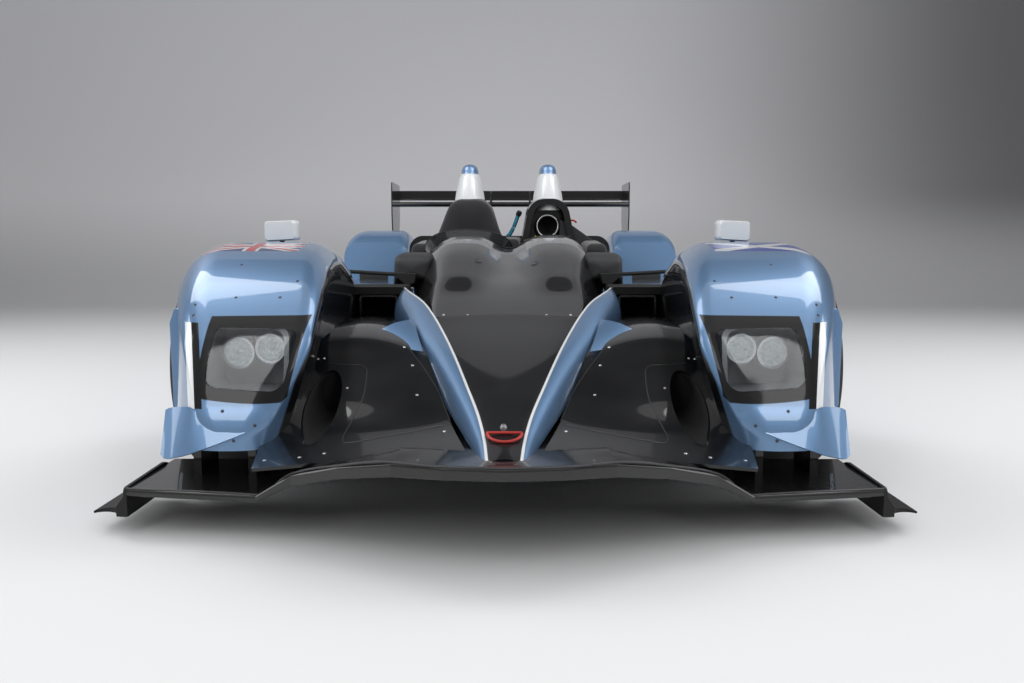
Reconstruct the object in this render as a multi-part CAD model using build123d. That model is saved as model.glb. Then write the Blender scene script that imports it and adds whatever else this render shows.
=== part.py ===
from build123d import *
from collections import namedtuple
import math
import os

# Open-cockpit sports prototype race car, in millimetres.
# The car faces -Y, +X is its left side, +Z is up, and the ground is Z = 0.

# Overall sizes
LENGTH = 4620.0
WIDTH = 2000.0
WHEELBASE = 2870.0
FRONT_OVERHANG = 1000.0
NOSE_Y = -LENGTH / 2
TAIL_Y = LENGTH / 2
FRONT_AXLE_Y = NOSE_Y + FRONT_OVERHANG
REAR_AXLE_Y = FRONT_AXLE_Y + WHEELBASE
HALF_WIDTH = WIDTH / 2

# Gaps
REST_GAP = 0.3
PANEL_GAP = 3.0
RUNNING_GAP = 0.05
MOVING_GAP = 6.0

# Wheels
TYRE_R_FRONT = 330.0
TYRE_R_REAR = 355.0
TYRE_W_FRONT = 300.0
TYRE_W_REAR = 330.0
TYRE_OUT_X = HALF_WIDTH - 42.0
TRACK_X_FRONT = TYRE_OUT_X - TYRE_W_FRONT / 2
TRACK_X_REAR = TYRE_OUT_X - TYRE_W_REAR / 2
RIM_R = 228.0
RIM_WALL = 12.0
RIM_LIP = 14.0
RIM_LIP_H = 10.0
RIM_INSET = 1.0
SPOKES = 10
SPOKE_W = 26.0
SPOKE_T = 22.0
SPOKE_INSET = 46.0
HUB_R = 62.0
HUB_L = 84.0
NUT_R = 42.0
NUT_H = 30.0
DISC_R = 178.0
DISC_T = 30.0
SPINDLE_R = 26.0

# Steering
KINGPIN_INSET = 96.0
KINGPIN_R = 24.0
WISHBONE_R = 9.0
UPPER_DROP = 70.0
LOWER_DROP = 20.0
BALL_R = 18.0
BALL_H = 5.0
KINGPIN_HALF = 84.0
ARM_L = 110.0
ARM_DROP = 62.0
ARM_W = 34.0
ARM_T = 16.0
PIN_R = 6.0
PIN_H = 34.0
EYE_R = 20.0
EYE_T = 14.0
RACK_BAR_R = 9.0
RACK_Z = TYRE_R_FRONT - ARM_DROP - ARM_T + PIN_H - EYE_T / 2 - 2.0

# Walls
BODY_WALL = 8.0
COVER_FOOT = 2.0
DECK_T = 10.0
TUB_WALL = 24.0
FLOOR_T = 12.0
FLOOR_TOP = 64.0
SKID_T = 22.0
DIVE_T = 8.0
SCREEN_T = 4.0

# Splitter
SPLITTER_TRAIL_Y = FRONT_AXLE_Y - 400.0
SPLITTER_FLAT_X = HALF_WIDTH - 90.0
SPLITTER_FLAT_TOP = 114.0
SPLITTER_FLAT_T = 18.0
SPLITTER_SWEEP = 292.0
ENDPLATE_T = 8.0
ENDPLATE_BOTTOM = 46.0

# Brake-duct hole in the panel beside the nose
DUCT_X = 481.0
DUCT_Z = 284.0
DUCT_HALF_X = 46.0
DUCT_HALF_Z = 68.0
DUCT_Y = FRONT_AXLE_Y - 470.0
DUCT_REACH = 180.0

# Nose and monocoque
SEAM_Y = FRONT_AXLE_Y + 2.0
NOSE_TIP_Y = NOSE_Y + 105.0
NOSE_TIP_TOP = 226.0
NOSE_SEAM_TOP = 467.0
NOSE_TIP_BOTTOM = 212.0
NOSE_SEAM_BOTTOM = 200.0
NOSE_TIP_HALF = 42.0
NOSE_SEAM_HALF = 262.0
STRAKE_W = 26.0
STRAKE_DEPTH = 45.0
STRAKE_BACK = 55.0
TUB_BACK_Y = 420.0
TUB_TOP = 520.0
COCKPIT_FRONT_Y = -960.0
COCKPIT_TOP_Y = -640.0
COCKPIT_BACK_Y = 380.0
COCKPIT_HALF = 352.0
OPENING_FRONT_Y = -215.0
OPENING_BACK_Y = 325.0

# Driver's side and intake side
DRIVER_X = -205.0
INTAKE_X = 190.0
WHEEL_Y = -330.0
WHEEL_Z = 500.0
COLUMN_TILT = 18.0
CHAIR_HALF = 134.0
CHAIR_LOW = FLOOR_TOP + TUB_WALL + REST_GAP
WHEEL_BOSS = 28.0

# Power train
ENGINE_BACK_Y = 980.0
GEARBOX_BACK_Y = 1900.0
GEARBOX_TOP = 404.0

# Rear wing
WING_HALF = 794.0
WING_LEAD_Y = TAIL_Y - 392.0
WING_CHORD = 255.0
WING_Z = 975.0
WING_T = 34.0
FLAP_CHORD = 128.0
WING_PLATE_T = 8.0
WING_PLATE_TOP = 1108.0
WING_PLATE_BOTTOM = 690.0
PYLON_X = 130.0
PYLON_T = 10.0

# Tow eye behind the crash structure
TOW_PIN_R = 16.0
TOW_T = 14.0

Row = namedtuple("Row", "y bottom_in bottom_out top_in top_out low high round_in round_out")


def mirrored(shape):
    """The same shape on the other side of the car."""
    return mirror(shape, about=Plane.YZ)


def ring(row, inset=0.0, drop=0.0, foot=8.0):
    """A closed outline across the car at row.y: four corners, each with its rounding.

    Its sides stay parallel to the row's, inset from them, also where the bottom drops below the row's.
    """
    low = row.low + inset - drop
    high = row.high - inset
    depth = row.high - row.low
    lean_in = (row.bottom_in - row.top_in) / depth
    lean_out = (row.bottom_out - row.top_out) / depth
    corners = [
        (row.top_in + inset + lean_in * (row.high - low), row.y, low),
        (row.top_out - inset + lean_out * (row.high - low), row.y, low),
        (row.top_out - inset + lean_out * inset, row.y, high),
        (row.top_in + inset + lean_in * inset, row.y, high),
    ]
    radii = [foot, foot, max(row.round_out - inset, 3.0), max(row.round_in - inset, 3.0)]
    return Wire(FilletPolyline(*corners, radius=radii, close=True).edges())


def row_at(row, other, y):
    """The row at y on the straight run through two rows."""
    share = (y - row.y) / (other.y - row.y)
    return Row(y, *[a + share * (b - a) for a, b in zip(row[1:], other[1:])])


def hull(rows, inset=0.0, drop=0.0, foot=8.0, ruled=False):
    """A loft through the outlines of a table of rows."""
    return Solid.make_loft([ring(row, inset, drop, foot) for row in rows], ruled)


def shell(rows, wall, drop=0.0, foot=5.0, front=0.0, back=0.0, ruled=False):
    """A skin of the given wall, open below by drop, and open at the ends that reach out."""
    first = row_at(rows[0], rows[1], rows[0].y + wall - front)
    last = row_at(rows[-1], rows[-2], rows[-1].y - wall + back)
    inner = hull([first] + rows[1:-1] + [last], wall, drop, foot, ruled)
    return Part() + hull(rows, foot=foot, ruled=ruled) - inner


def block(x0, x1, y0, y1, z0, z1):
    """A plain box between two corners."""
    size = Box(abs(x1 - x0), abs(y1 - y0), abs(z1 - z0))
    return Pos((x0 + x1) / 2, (y0 + y1) / 2, (z0 + z1) / 2) * size


def rod_x(x0, x1, y, z, radius):
    """A round bar along X."""
    bar = Cylinder(radius, abs(x1 - x0))
    return Pos((x0 + x1) / 2, y, z) * (Rot(0, 90, 0) * bar)


def rod(start, end, radius):
    """A round bar between two points."""
    a = Vector(*start)
    b = Vector(*end)
    return Solid.make_cylinder(radius, (b - a).length, Plane(origin=a, z_dir=b - a))


def side_prism(points, x0, x1, radii=0.0):
    """An outline in the (y, z) plane, with rounded corners, carried from x0 to x1."""
    corners = [(x0, y, z) for y, z in points]
    outline = Wire(FilletPolyline(*corners, radius=radii, close=True).edges())
    return Part() + extrude(Face(outline), amount=x1 - x0, dir=(1, 0, 0))


def plan_prism(points, z0, z1, radii=0.0):
    """An outline in the (x, y) plane, with rounded corners, carried from z0 to z1."""
    corners = [(x, y, z0) for x, y in points]
    outline = Wire(FilletPolyline(*corners, radius=radii, close=True).edges())
    return Part() + extrude(Face(outline), amount=z1 - z0, dir=(0, 0, 1))


def front_prism(points, y0, y1, radii=0.0):
    """An outline in the (x, z) plane, with rounded corners, carried from y0 to y1."""
    corners = [(x, y0, z) for x, z in points]
    outline = Wire(FilletPolyline(*corners, radius=radii, close=True).edges())
    return Part() + extrude(Face(outline), amount=y1 - y0, dir=(0, 1, 0))


def save(node, *shapes):
    """Write one node with its separate solids."""
    solids = [solid for shape in shapes for solid in shape.solids()]
    export_step(Compound(children=solids), "parts/" + node + ".step")


# Wheels

def tyre(radius, width, centre_x, axle_y):
    """A slick tyre: a rounded tread over tucked-in sidewalls, turned about the axle."""
    half = width / 2
    bead = RIM_R + REST_GAP
    seat = half - RIM_INSET - RIM_LIP - REST_GAP
    lip = bead + RIM_LIP_H
    section = [
        (bead, -seat),
        (lip, -seat),
        (lip, -half + 4),
        (radius - 62, -half),
        (radius - 6, -half + 10),
        (radius, 0),
        (radius - 6, half - 10),
        (radius - 62, half),
        (lip, half - 4),
        (lip, seat),
        (bead, seat),
    ]
    corners = [(along, out, 0) for out, along in section]
    rounding = [1, 1, 4, 60, 26, 300, 26, 60, 4, 1, 1]
    face = Face(Wire(FilletPolyline(*corners, radius=rounding, close=True).edges()))
    solid = Part() + revolve(face, Axis.X)
    return Pos(centre_x, axle_y, radius) * solid


def rim(radius, width, centre_x, axle_y, side):
    """A barrel with two lips, spokes, hub, brake disc and centre nut, facing outwards."""
    half = width / 2 - RIM_INSET
    lip = RIM_R + RIM_LIP_H
    barrel = [
        (-half, RIM_R - RIM_WALL),
        (-half, lip),
        (-half + RIM_LIP, lip),
        (-half + RIM_LIP, RIM_R),
        (half - RIM_LIP, RIM_R),
        (half - RIM_LIP, lip),
        (half, lip),
        (half, RIM_R - RIM_WALL),
    ]
    wire = Polyline(*[(along, out, 0) for along, out in barrel], close=True)
    wheel = Part() + revolve(Face(Wire(wire.edges())), Axis.X)
    face_x = half - SPOKE_INSET
    wheel += rod_x(face_x - HUB_L, face_x, 0, 0, HUB_R)
    wheel += rod_x(face_x - HUB_L, face_x - HUB_L + DISC_T, 0, 0, DISC_R)
    wheel += Pos(face_x + NUT_H / 2, 0, 0) * (Rot(0, 90, 0) * Cone(NUT_R, NUT_R * 0.7, NUT_H))
    reach = RIM_R - RIM_WALL / 2
    lean = SPOKE_INSET - SPOKE_T
    for index in range(SPOKES):
        bar = Box(SPOKE_T, SPOKE_W, reach - HUB_R / 2)
        turned = Pos(face_x - SPOKE_T / 2 + lean / 2, 0, (reach + HUB_R / 2) / 2) * bar
        wheel += Rot(360.0 / SPOKES * index, 0, 0) * turned
    wheel -= rod_x(face_x - HUB_L - 1, face_x, 0, 0, SPINDLE_R + RUNNING_GAP)
    if side < 0:
        wheel = mirrored(wheel)
    return Pos(centre_x, axle_y, radius) * wheel


# Knuckles

def knuckle(side, radius, centre_x, width, axle_y, steered):
    """An upright: a post on the kingpin line, a spindle into the hub and a steering arm."""
    post_x = centre_x - KINGPIN_INSET
    face_x = centre_x + width / 2 - RIM_INSET - SPOKE_INSET
    tip_x = face_x - REST_GAP - 1.0
    foot = (post_x, axle_y, radius - KINGPIN_HALF)
    head = (post_x, axle_y, radius + KINGPIN_HALF)
    shape = Part() + rod(foot, head, KINGPIN_R)
    hub_x = face_x - HUB_L - REST_GAP
    shape += rod_x(post_x, hub_x, axle_y, radius, HUB_R)
    shape += rod_x(hub_x - 1, tip_x, axle_y, radius, SPINDLE_R)
    if steered:
        end_y = axle_y + ARM_L
        top = radius - ARM_DROP
        low = top - ARM_T
        shape += block(post_x - ARM_W / 2, post_x + ARM_W / 2, axle_y, end_y, low, top)
        shape += rod((post_x, end_y, low), (post_x, end_y, low + PIN_H), PIN_R)
        shape += rod((post_x, end_y, low), (post_x, end_y, top), ARM_W / 2)
    if side < 0:
        shape = mirrored(shape)
    return shape


def wishbones(inner_x, radius, centre_x, axle_y, legs):
    """Upper and lower arms of one side: two tubes each, from the kingpin line to the chassis."""
    post_x = centre_x - KINGPIN_INSET
    arms = []
    for sign in (-1, 1):
        seat = radius + sign * (KINGPIN_HALF + REST_GAP)
        z = seat + sign * (WISHBONE_R + BALL_H)
        drop = UPPER_DROP if sign > 0 else LOWER_DROP
        arm = Part() + rod((post_x, axle_y, seat), (post_x, axle_y, z + sign * WISHBONE_R), BALL_R)
        for along in legs:
            arm += rod((post_x, axle_y, z), (inner_x, axle_y + along, z - drop), WISHBONE_R)
        arms.append(arm)
    return arms


def largest(shape):
    """The biggest of a shape's solids."""
    return max(shape.solids(), key=lambda solid: solid.volume)


# Outer body tables. The columns are those of Row, for the car's left side.

def front_fender_rows():
    """Pod over the front wheel, from its rounded front to the open back."""
    table = [
        (-652, 600, 778, 592, 768, 205, 300, 34, 34),
        (-560, 588, 832, 512, 815, 184, 500, 46, 60),
        (-330, 580, 916, 510, 910, 176, 640, 66, 105),
        (-150, 574, 966, 514, 960, 176, 690, 90, 130),
        (10, 572, 990, 518, 984, 176, 706, 104, 142),
        (300, 572, 996, 530, 990, 176, 662, 100, 150),
        (540, 574, 986, 548, 978, 176, 545, 80, 120),
    ]
    return [Row(FRONT_AXLE_Y + row[0], *row[1:]) for row in table]


def rear_fender_rows():
    """Cover over the rear wheel, from its front face to the tail."""
    table = [
        (-408, 602, 990, 606, 978, FLOOR_TOP, 700, 60, 80),
        (-300, 600, 996, 602, 990, FLOOR_TOP, 756, 70, 110),
        (0, 600, 998, 600, 998, FLOOR_TOP, 768, 80, 150),
        (350, 600, 998, 600, 998, 90, 700, 80, 120),
        (640, 602, 990, 606, 980, 200, 600, 60, 70),
    ]
    return [Row(REAR_AXLE_Y + row[0], *row[1:]) for row in table]


def sidepod_rows():
    """Side of the car between the wheels."""
    table = [
        (-765, 416, 960, 420, 930, FLOOR_TOP, 378, 20, 60),
        (-300, 416, 970, 420, 930, FLOOR_TOP, 424, 20, 80),
        (450, 416, 985, 420, 940, FLOOR_TOP, 470, 20, 100),
        (REAR_AXLE_Y - 408 - PANEL_GAP, 416, 990, 420, 960, FLOOR_TOP, 492, 20, 90),
    ]
    return [Row(*row) for row in table]


def duct_rows():
    """Square duct beside the cockpit, from its mouth to the radiator."""
    table = [
        (-900, 398, 536, 398, 536, 386, 516, 14, 14),
        (-620, 432, 560, 432, 560, 386, 516, 14, 14),
        (-120, 440, 640, 440, 640, 386, 500, 14, 14),
    ]
    return [Row(*row) for row in table]


def central_rows(table):
    """Rows of a shape that is the same on both sides: y, bottom half, top half, low, high, round."""
    return [Row(y, -b, b, -t, t, low, high, r, r) for y, b, t, low, high, r in table]


def offset_rows(centre, table):
    """Rows about a line at x = centre: y, bottom half, top half, low, high, round."""
    return [Row(y, centre - b, centre + b, centre - t, centre + t, low, high, r, r)
            for y, b, t, low, high, r in table]


def nose_rows(start_y=NOSE_TIP_Y):
    """Wedge of the nose: a straight run from start_y to the seam, with the slopes of the whole wedge."""
    rows = []
    end_y = SEAM_Y - REST_GAP
    for y in (start_y, (start_y + end_y) / 2, end_y):
        share = (y - NOSE_TIP_Y) / (end_y - NOSE_TIP_Y)
        half = NOSE_TIP_HALF + share * (NOSE_SEAM_HALF - NOSE_TIP_HALF)
        high = NOSE_TIP_TOP + share * (NOSE_SEAM_TOP - NOSE_TIP_TOP)
        low = NOSE_TIP_BOTTOM + share * (NOSE_SEAM_BOTTOM - NOSE_TIP_BOTTOM)
        rows.append((y, half, half, low, high, 8 + 22 * share))
    return central_rows(rows)


TUB_ROWS = central_rows([
    (SEAM_Y, 205, 235, 150, 440, 20),
    (-900, 318, 325, FLOOR_TOP, 486, 24),
    (-400, 398, 392, FLOOR_TOP, TUB_TOP, 24),
    (TUB_BACK_Y, 408, 400, FLOOR_TOP, TUB_TOP + 20, 24),
])

COWL_ROWS = central_rows([
    (SEAM_Y, 264, 256, 400, NOSE_SEAM_TOP + 1, 30),
    (-900, 352, 250, 440, 566, 50),
    (-420, 414, 350, 470, 640, 80),
    (TUB_BACK_Y, 424, 372, 490, 690, 80),
])

BUBBLE = [
    (-1080, 60, 40, 500, 540, 20),
    (-700, 130, 80, 500, 648, 60),
    (-330, 168, 120, 500, 718, 90),
    (OPENING_FRONT_Y + 40, 172, 125, 500, 722, 90),
]

FAIRING = [
    (OPENING_BACK_Y + 10, 138, 122, 560, 905, 112),
    (470, 140, 120, 560, 930, 112),
    (900, 118, 92, 560, 850, 84),
    (1500, 78, 52, 500, 660, 46),
    (1960, 44, 30, 430, 520, 24),
]

COVER_ROWS = central_rows([
    (TUB_BACK_Y + PANEL_GAP, 412, 360, 470, 700, 70),
    (900, 412, 300, 450, 640, 60),
    (1400, 372, 240, 450, 560, 50),
    (2000, 250, 190, 400, 470, 20),
])


GEARBOX_ROWS = central_rows([
    (ENGINE_BACK_Y + REST_GAP, 160, 150, 110, GEARBOX_TOP, 20),
    (GEARBOX_BACK_Y, 150, 142, 190, GEARBOX_TOP, 20),
])


# Front end

def splitter():
    """Gull-wing splitter: raised centre, swept-back sides and low flat ends."""
    flat_low = SPLITTER_FLAT_TOP - SPLITTER_FLAT_T
    # Columns: x, lead y from the nose, lead bottom, lead top, trail top
    table = [
        (0, 0, 212, 240, 214),
        (130, 16, 211, 240, 213),
        (242, 60, 206, 238, 208),
        (370, 132, 182, 212, 190),
        (490, 200, 146, 176, 168),
        (585, 240, flat_low, SPLITTER_FLAT_TOP, SPLITTER_FLAT_TOP),
        (SPLITTER_FLAT_X, SPLITTER_SWEEP, flat_low, SPLITTER_FLAT_TOP, SPLITTER_FLAT_TOP),
    ]
    wires = []
    for side, rows in ((-1, table[::-1]), (1, table[1:])):
        for x, lead, bottom, top, trail in rows:
            lead_y = NOSE_Y + lead
            corners = [(side * x, lead_y, bottom), (side * x, SPLITTER_TRAIL_Y, trail - SPLITTER_FLAT_T),
                       (side * x, SPLITTER_TRAIL_Y, trail), (side * x, lead_y, top)]
            wires.append(Wire(FilletPolyline(*corners, radius=[7, 2, 2, 7], close=True).edges()))
    shape = Part() + Solid.make_loft(wires, True)
    for side in (-1, 1):
        for x in (650, 790):
            shape += block(side * (x - 10), side * (x + 10), FRONT_AXLE_Y - 560, FRONT_AXLE_Y - 430,
                           SPLITTER_FLAT_TOP - 4, 176)
    return shape


def splitter_endplate():
    """Vertical plate at the splitter's end with a foot that flares out."""
    x0 = SPLITTER_FLAT_X + REST_GAP
    lead_y = NOSE_Y + SPLITTER_SWEEP
    outline = [(lead_y, ENDPLATE_BOTTOM), (lead_y + 318, ENDPLATE_BOTTOM), (lead_y + 318, 96),
               (lead_y + 240, 122), (lead_y, 118)]
    plate = side_prism(outline, x0, x0 + ENDPLATE_T, [4, 4, 20, 40, 12])
    foot = [(x0 + 2, ENDPLATE_BOTTOM), (HALF_WIDTH, ENDPLATE_BOTTOM + 4),
            (HALF_WIDTH, ENDPLATE_BOTTOM + 10), (x0 + 34, 62), (x0 + 2, 104)]
    flare = front_prism(foot, lead_y, lead_y + 318, [1, 2, 2, 40, 2])
    flare -= Pos((x0 + HALF_WIDTH) / 2 + 16, lead_y, ENDPLATE_BOTTOM + 2) * Cylinder(34, 120)
    return plate + flare


def deck():
    """Panel between the nose and the pod: flat at the splitter, then a long rise to its crest."""
    # Columns: y from the front axle, inner x, outer x, inner top, outer top
    table = [
        (-800, 90, 580, 232, 190),
        (-640, 128, 600, 250, 214),
        (-480, 168, 590, 290, 286),
        (-320, 208, 564, 346, 356),
        (-160, 246, 552, 396, 424),
        (0, 280, 545, 418, 446),
        (200, 330, 540, 430, 448),
        (395, 384, 532, 394, 396),
    ]
    wires = []
    for dy, x0, x1, z0, z1 in table:
        y = FRONT_AXLE_Y + dy
        corners = [(x0, y, z0 - DECK_T), (x1, y, z1 - DECK_T), (x1, y, z1), (x0, y, z0)]
        wires.append(Wire(Polyline(*corners, close=True).edges()))
    duct = extrude(Ellipse(DUCT_HALF_X, DUCT_HALF_Z), amount=DUCT_REACH, both=True)
    duct = Pos(DUCT_X, DUCT_Y, DUCT_Z) * (Rot(90, 0, 0) * duct)
    return Part() + Solid.make_loft(wires, True) - duct


def strake():
    """Rail along the edge of the nose, from the tip up to the cockpit's side."""
    rows = []
    for row in nose_rows(NOSE_TIP_Y + STRAKE_BACK):
        rows.append(Row(row.y, row.bottom_out + REST_GAP, row.bottom_out + STRAKE_W,
                        row.top_out + REST_GAP, row.top_out + STRAKE_W,
                        row.high - STRAKE_DEPTH, row.high + 2, 8, 12))
    for y, inner, top in ((-900, 355, 482), (-560, 398, 512)):
        rows.append(Row(y, inner, inner + STRAKE_W, inner - 2, inner - 2 + STRAKE_W,
                        top - STRAKE_DEPTH, top, 8, 12))
    return Part() + hull(rows, foot=3, ruled=True)


def deck_canard():
    """Three-cornered fairing over the top wishbone, beside the nose."""
    y = FRONT_AXLE_Y
    points = [(276, y - 120), (276, y + 60), (420, y + 10)]
    return plan_prism(points, 452, 470, [4, 12, 6])


def headlight_window(grow=0.0):
    """Outline of the headlight opening, seen from the front, carried through the pod's face."""
    points = [
        (750 + grow, 328 - grow),
        (748 + grow, 506 + grow),
        (520 - grow, 500 + grow),
        (548 - grow, 318 - grow),
    ]
    return front_prism(points, FRONT_AXLE_Y - 700, FRONT_AXLE_Y - 420, [30, 30, 22, 30])


def front_fender():
    """Pod over a front wheel with its wheel arch, headlight opening and inner cut-out."""
    rows = front_fender_rows()
    outer = Part() + hull(rows, foot=5)
    skin = shell(rows, BODY_WALL, drop=60.0, back=40.0)
    arch = rod_x(TRACK_X_FRONT + 50, HALF_WIDTH + 60, FRONT_AXLE_Y, TYRE_R_FRONT, TYRE_R_FRONT + 24)
    inner = block(430, 640, FRONT_AXLE_Y - 340, FRONT_AXLE_Y + 560, 100, 434)
    skin = skin - arch - inner
    lens = largest((outer & headlight_window(-REST_GAP)) - hull(rows, BODY_WALL, 60.0))
    skin = skin - headlight_window()
    return skin, lens, outer


def headlight_unit():
    """Open box behind the cover with two round lamps on its back wall."""
    y0 = FRONT_AXLE_Y - 500
    y1 = FRONT_AXLE_Y - 400
    outer = block(562, 764, y0, y1, 312, 490)
    inner = block(568, 758, y0 - 5, y1 - 8, 318, 484)
    unit = Part() + outer - inner + block(540, 780, y1 - 8, y1, 330, 400)
    for x in (618, 703):
        lamp = Pos(x, y1 - 8 - 35, 418) * (Rot(90, 0, 0) * Cone(30, 41, 70))
        unit += lamp
    return unit


def dive_plane():
    """Sloping winglet on the pod's front corner."""
    y = FRONT_AXLE_Y - 635
    points = [(740, 190), (842, 174), (858, 194), (841, 292), (790, 303), (768, 320), (720, 276)]
    return front_prism(points, y, y + DIVE_T, [4, 8, 8, 12, 8, 6, 8])


def mirror_pair():
    """Mirror housings on stalks on top of the front pods."""
    y = FRONT_AXLE_Y + 60
    points = [(636, 712), (738, 712), (738, 776), (640, 776)]
    housing = front_prism(points, y, y + 46, [10, 10, 10, 10])
    stalk = block(676, 690, y + 10, y + 36, 690, 716)
    return housing + stalk


# Middle

def monocoque():
    """Tub with a hollow cockpit, open on top, and a cross bore for the steering rack."""
    tub = Part() + hull(TUB_ROWS, foot=20, ruled=True)
    cavity = hull(TUB_ROWS, TUB_WALL, foot=20, ruled=True)
    reach = block(-HALF_WIDTH, HALF_WIDTH, COCKPIT_FRONT_Y, COCKPIT_BACK_Y, 0, 700)
    tub = tub - (cavity & reach)
    top = block(-COCKPIT_HALF, COCKPIT_HALF, COCKPIT_TOP_Y, COCKPIT_BACK_Y - 10, TUB_TOP - 80, 700)
    tub = tub - top
    tub = tub - rod_x(-500, 500, FRONT_AXLE_Y + ARM_L, RACK_Z, RACK_BAR_R + RUNNING_GAP)
    return tub


def cowl(tub_envelope):
    """Cockpit cover with its double bubble and the opening for the driver."""
    outer = Part() + hull(COWL_ROWS, foot=6)
    inner = Part() + hull(COWL_ROWS, BODY_WALL, drop=80, foot=6)
    for centre in (DRIVER_X + 30, INTAKE_X - 5):
        rows = offset_rows(centre, BUBBLE)
        outer += hull(rows)
        inner += hull(rows, BODY_WALL, drop=30)
    inner = inner & block(-HALF_WIDTH, HALF_WIDTH, COCKPIT_FRONT_Y - 60, COCKPIT_BACK_Y, 300, 900)
    opening = plan_prism([(-COCKPIT_HALF + 8, OPENING_FRONT_Y), (COCKPIT_HALF - 8, OPENING_FRONT_Y),
                          (COCKPIT_HALF - 8, OPENING_BACK_Y), (-COCKPIT_HALF + 8, OPENING_BACK_Y)],
                         480, 900, [70, 70, 20, 20])
    return outer - inner - opening - tub_envelope, outer


def windscreen():
    """Low curved screen in front of the driver."""
    y = OPENING_FRONT_Y
    outer = Pos(DRIVER_X + 30, y + 60, 690) * Cylinder(190, 150)
    inner = Pos(DRIVER_X + 30, y + 60, 690) * Cylinder(190 - SCREEN_T, 160)
    front = block(-400, 60, y - 200, y - 20, 600, 790)
    return (Part() + outer - inner) & front


def side_ear():
    """Upright vane with a hole beside the cockpit, with the thin bar to the front pod."""
    points = [(418, 500), (500, 516), (512, 600), (470, 640), (430, 620)]
    vane = front_prism(points, -330, -250, [8, 14, 20, 20, 10])
    vane -= Pos(466, -290, 580) * (Rot(90, 0, 0) * Cylinder(22, 120))
    bar = rod((470, -296, 606), (600, -720, 592), 8)
    return vane + bar


def fairing(centre):
    """Teardrop fairing behind the cockpit."""
    return Part() + hull(offset_rows(centre, FAIRING), foot=4)


def hoop_fin(centre):
    """Tapered hoop cover with a domed cap."""
    wires = []
    # Columns: z, half width, half length, y centre
    for z, half, run, y in ((880, 74, 200, 560), (1000, 56, 150, 575), (1072, 42, 110, 585)):
        corners = [(centre - half, y - run, z), (centre + half, y - run, z),
                   (centre + half, y + run, z), (centre - half, y + run, z)]
        radius = half * 0.9
        wires.append(Wire(FilletPolyline(*corners, radius=[radius] * 4, close=True).edges()))
    fin = Part() + Solid.make_loft(wires)
    top = fin.edges().group_by(Axis.Z)[-1]
    return fin.fillet(26, top)


def sidepod():
    """Skin of the car's side with the square duct beside the cockpit."""
    skin = shell(sidepod_rows(), BODY_WALL, drop=BODY_WALL + 20, back=40.0, ruled=True)
    duct = Part() + hull(duct_rows(), foot=14, ruled=True)
    hole = hull(duct_rows(), BODY_WALL, foot=10, ruled=True)
    skin = skin + duct - hole
    mouth = duct_rows()[0]
    skin -= block(mouth.bottom_in + BODY_WALL, mouth.bottom_out - BODY_WALL, -930, -880,
                  mouth.low + BODY_WALL, mouth.high - BODY_WALL)
    return skin


def radiator():
    """Cooling core inside the sidepod behind the duct."""
    return Part() + Pos(600, 60, FLOOR_TOP + REST_GAP + 150) * (Rot(0, 0, 20) * Box(330, 60, 300))


def chair():
    """Driver's bucket: pan, reclined back and side bolsters."""
    profile = [(-190, CHAIR_LOW), (150, CHAIR_LOW), (340, 520), (300, 536), (120, 150), (-180, 168)]
    seat = side_prism(profile, DRIVER_X - CHAIR_HALF, DRIVER_X + CHAIR_HALF, [10, 30, 10, 10, 60, 10])
    for side in (-1, 1):
        x = DRIVER_X + side * CHAIR_HALF
        outline = [(-190, CHAIR_LOW), (150, CHAIR_LOW), (300, 430), (250, 450), (60, 240), (-180, 210)]
        bolster = side_prism(outline, x - 10, x + 10, [10, 30, 10, 30, 60, 20])
        seat += bolster
    return seat


def dashboard():
    """Cross panel under the cowl with the steering column."""
    reach = COCKPIT_HALF - REST_GAP
    panel = side_prism([(-520, 540), (-470, 540), (-450, 440), (-480, 430)], -reach, reach, [6, 12, 6, 6])
    tilt = math.radians(COLUMN_TILT)
    gap = WHEEL_BOSS + REST_GAP
    near = (DRIVER_X, WHEEL_Y - gap * math.cos(tilt), WHEEL_Z - gap * math.sin(tilt))
    far = (DRIVER_X, WHEEL_Y - 160 * math.cos(tilt), WHEEL_Z - 160 * math.sin(tilt))
    return panel + rod(far, near, 22)


def steering_wheel():
    """Flat-topped wheel with two grips and a hub on the column's line."""
    rim_outline = RectangleRounded(270, 170, 60)
    cut = Pos(0, -48) * RectangleRounded(120, 56, 20)
    holes = [Pos(side * 84, 18) * RectangleRounded(46, 90, 20) for side in (-1, 1)]
    sketch = Sketch() + rim_outline - cut
    for hole in holes:
        sketch -= hole
    plate = extrude(sketch, amount=24)
    hub = Pos(0, 0, -WHEEL_BOSS / 2) * Cylinder(20, WHEEL_BOSS)
    wheel = Part() + plate + hub
    tilt = COLUMN_TILT
    turned = Rot(-(90 - tilt), 0, 0) * (Rot(0, 0, 180) * wheel)
    return Pos(DRIVER_X, WHEEL_Y, WHEEL_Z) * turned


def rack():
    """Steering rack bar across the car with an eye round each arm's pin."""
    post_x = TRACK_X_FRONT - KINGPIN_INSET
    y = FRONT_AXLE_Y + ARM_L
    bar = Part() + rod_x(-post_x + EYE_R - 2, post_x - EYE_R + 2, y, RACK_Z, RACK_BAR_R)
    for side in (-1, 1):
        bar += Pos(side * post_x, y, RACK_Z) * Cylinder(EYE_R, EYE_T)
        bar -= Pos(side * post_x, y, RACK_Z) * Cylinder(PIN_R + MOVING_GAP, EYE_T + 2)
    return bar


# Underside and rear

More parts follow.
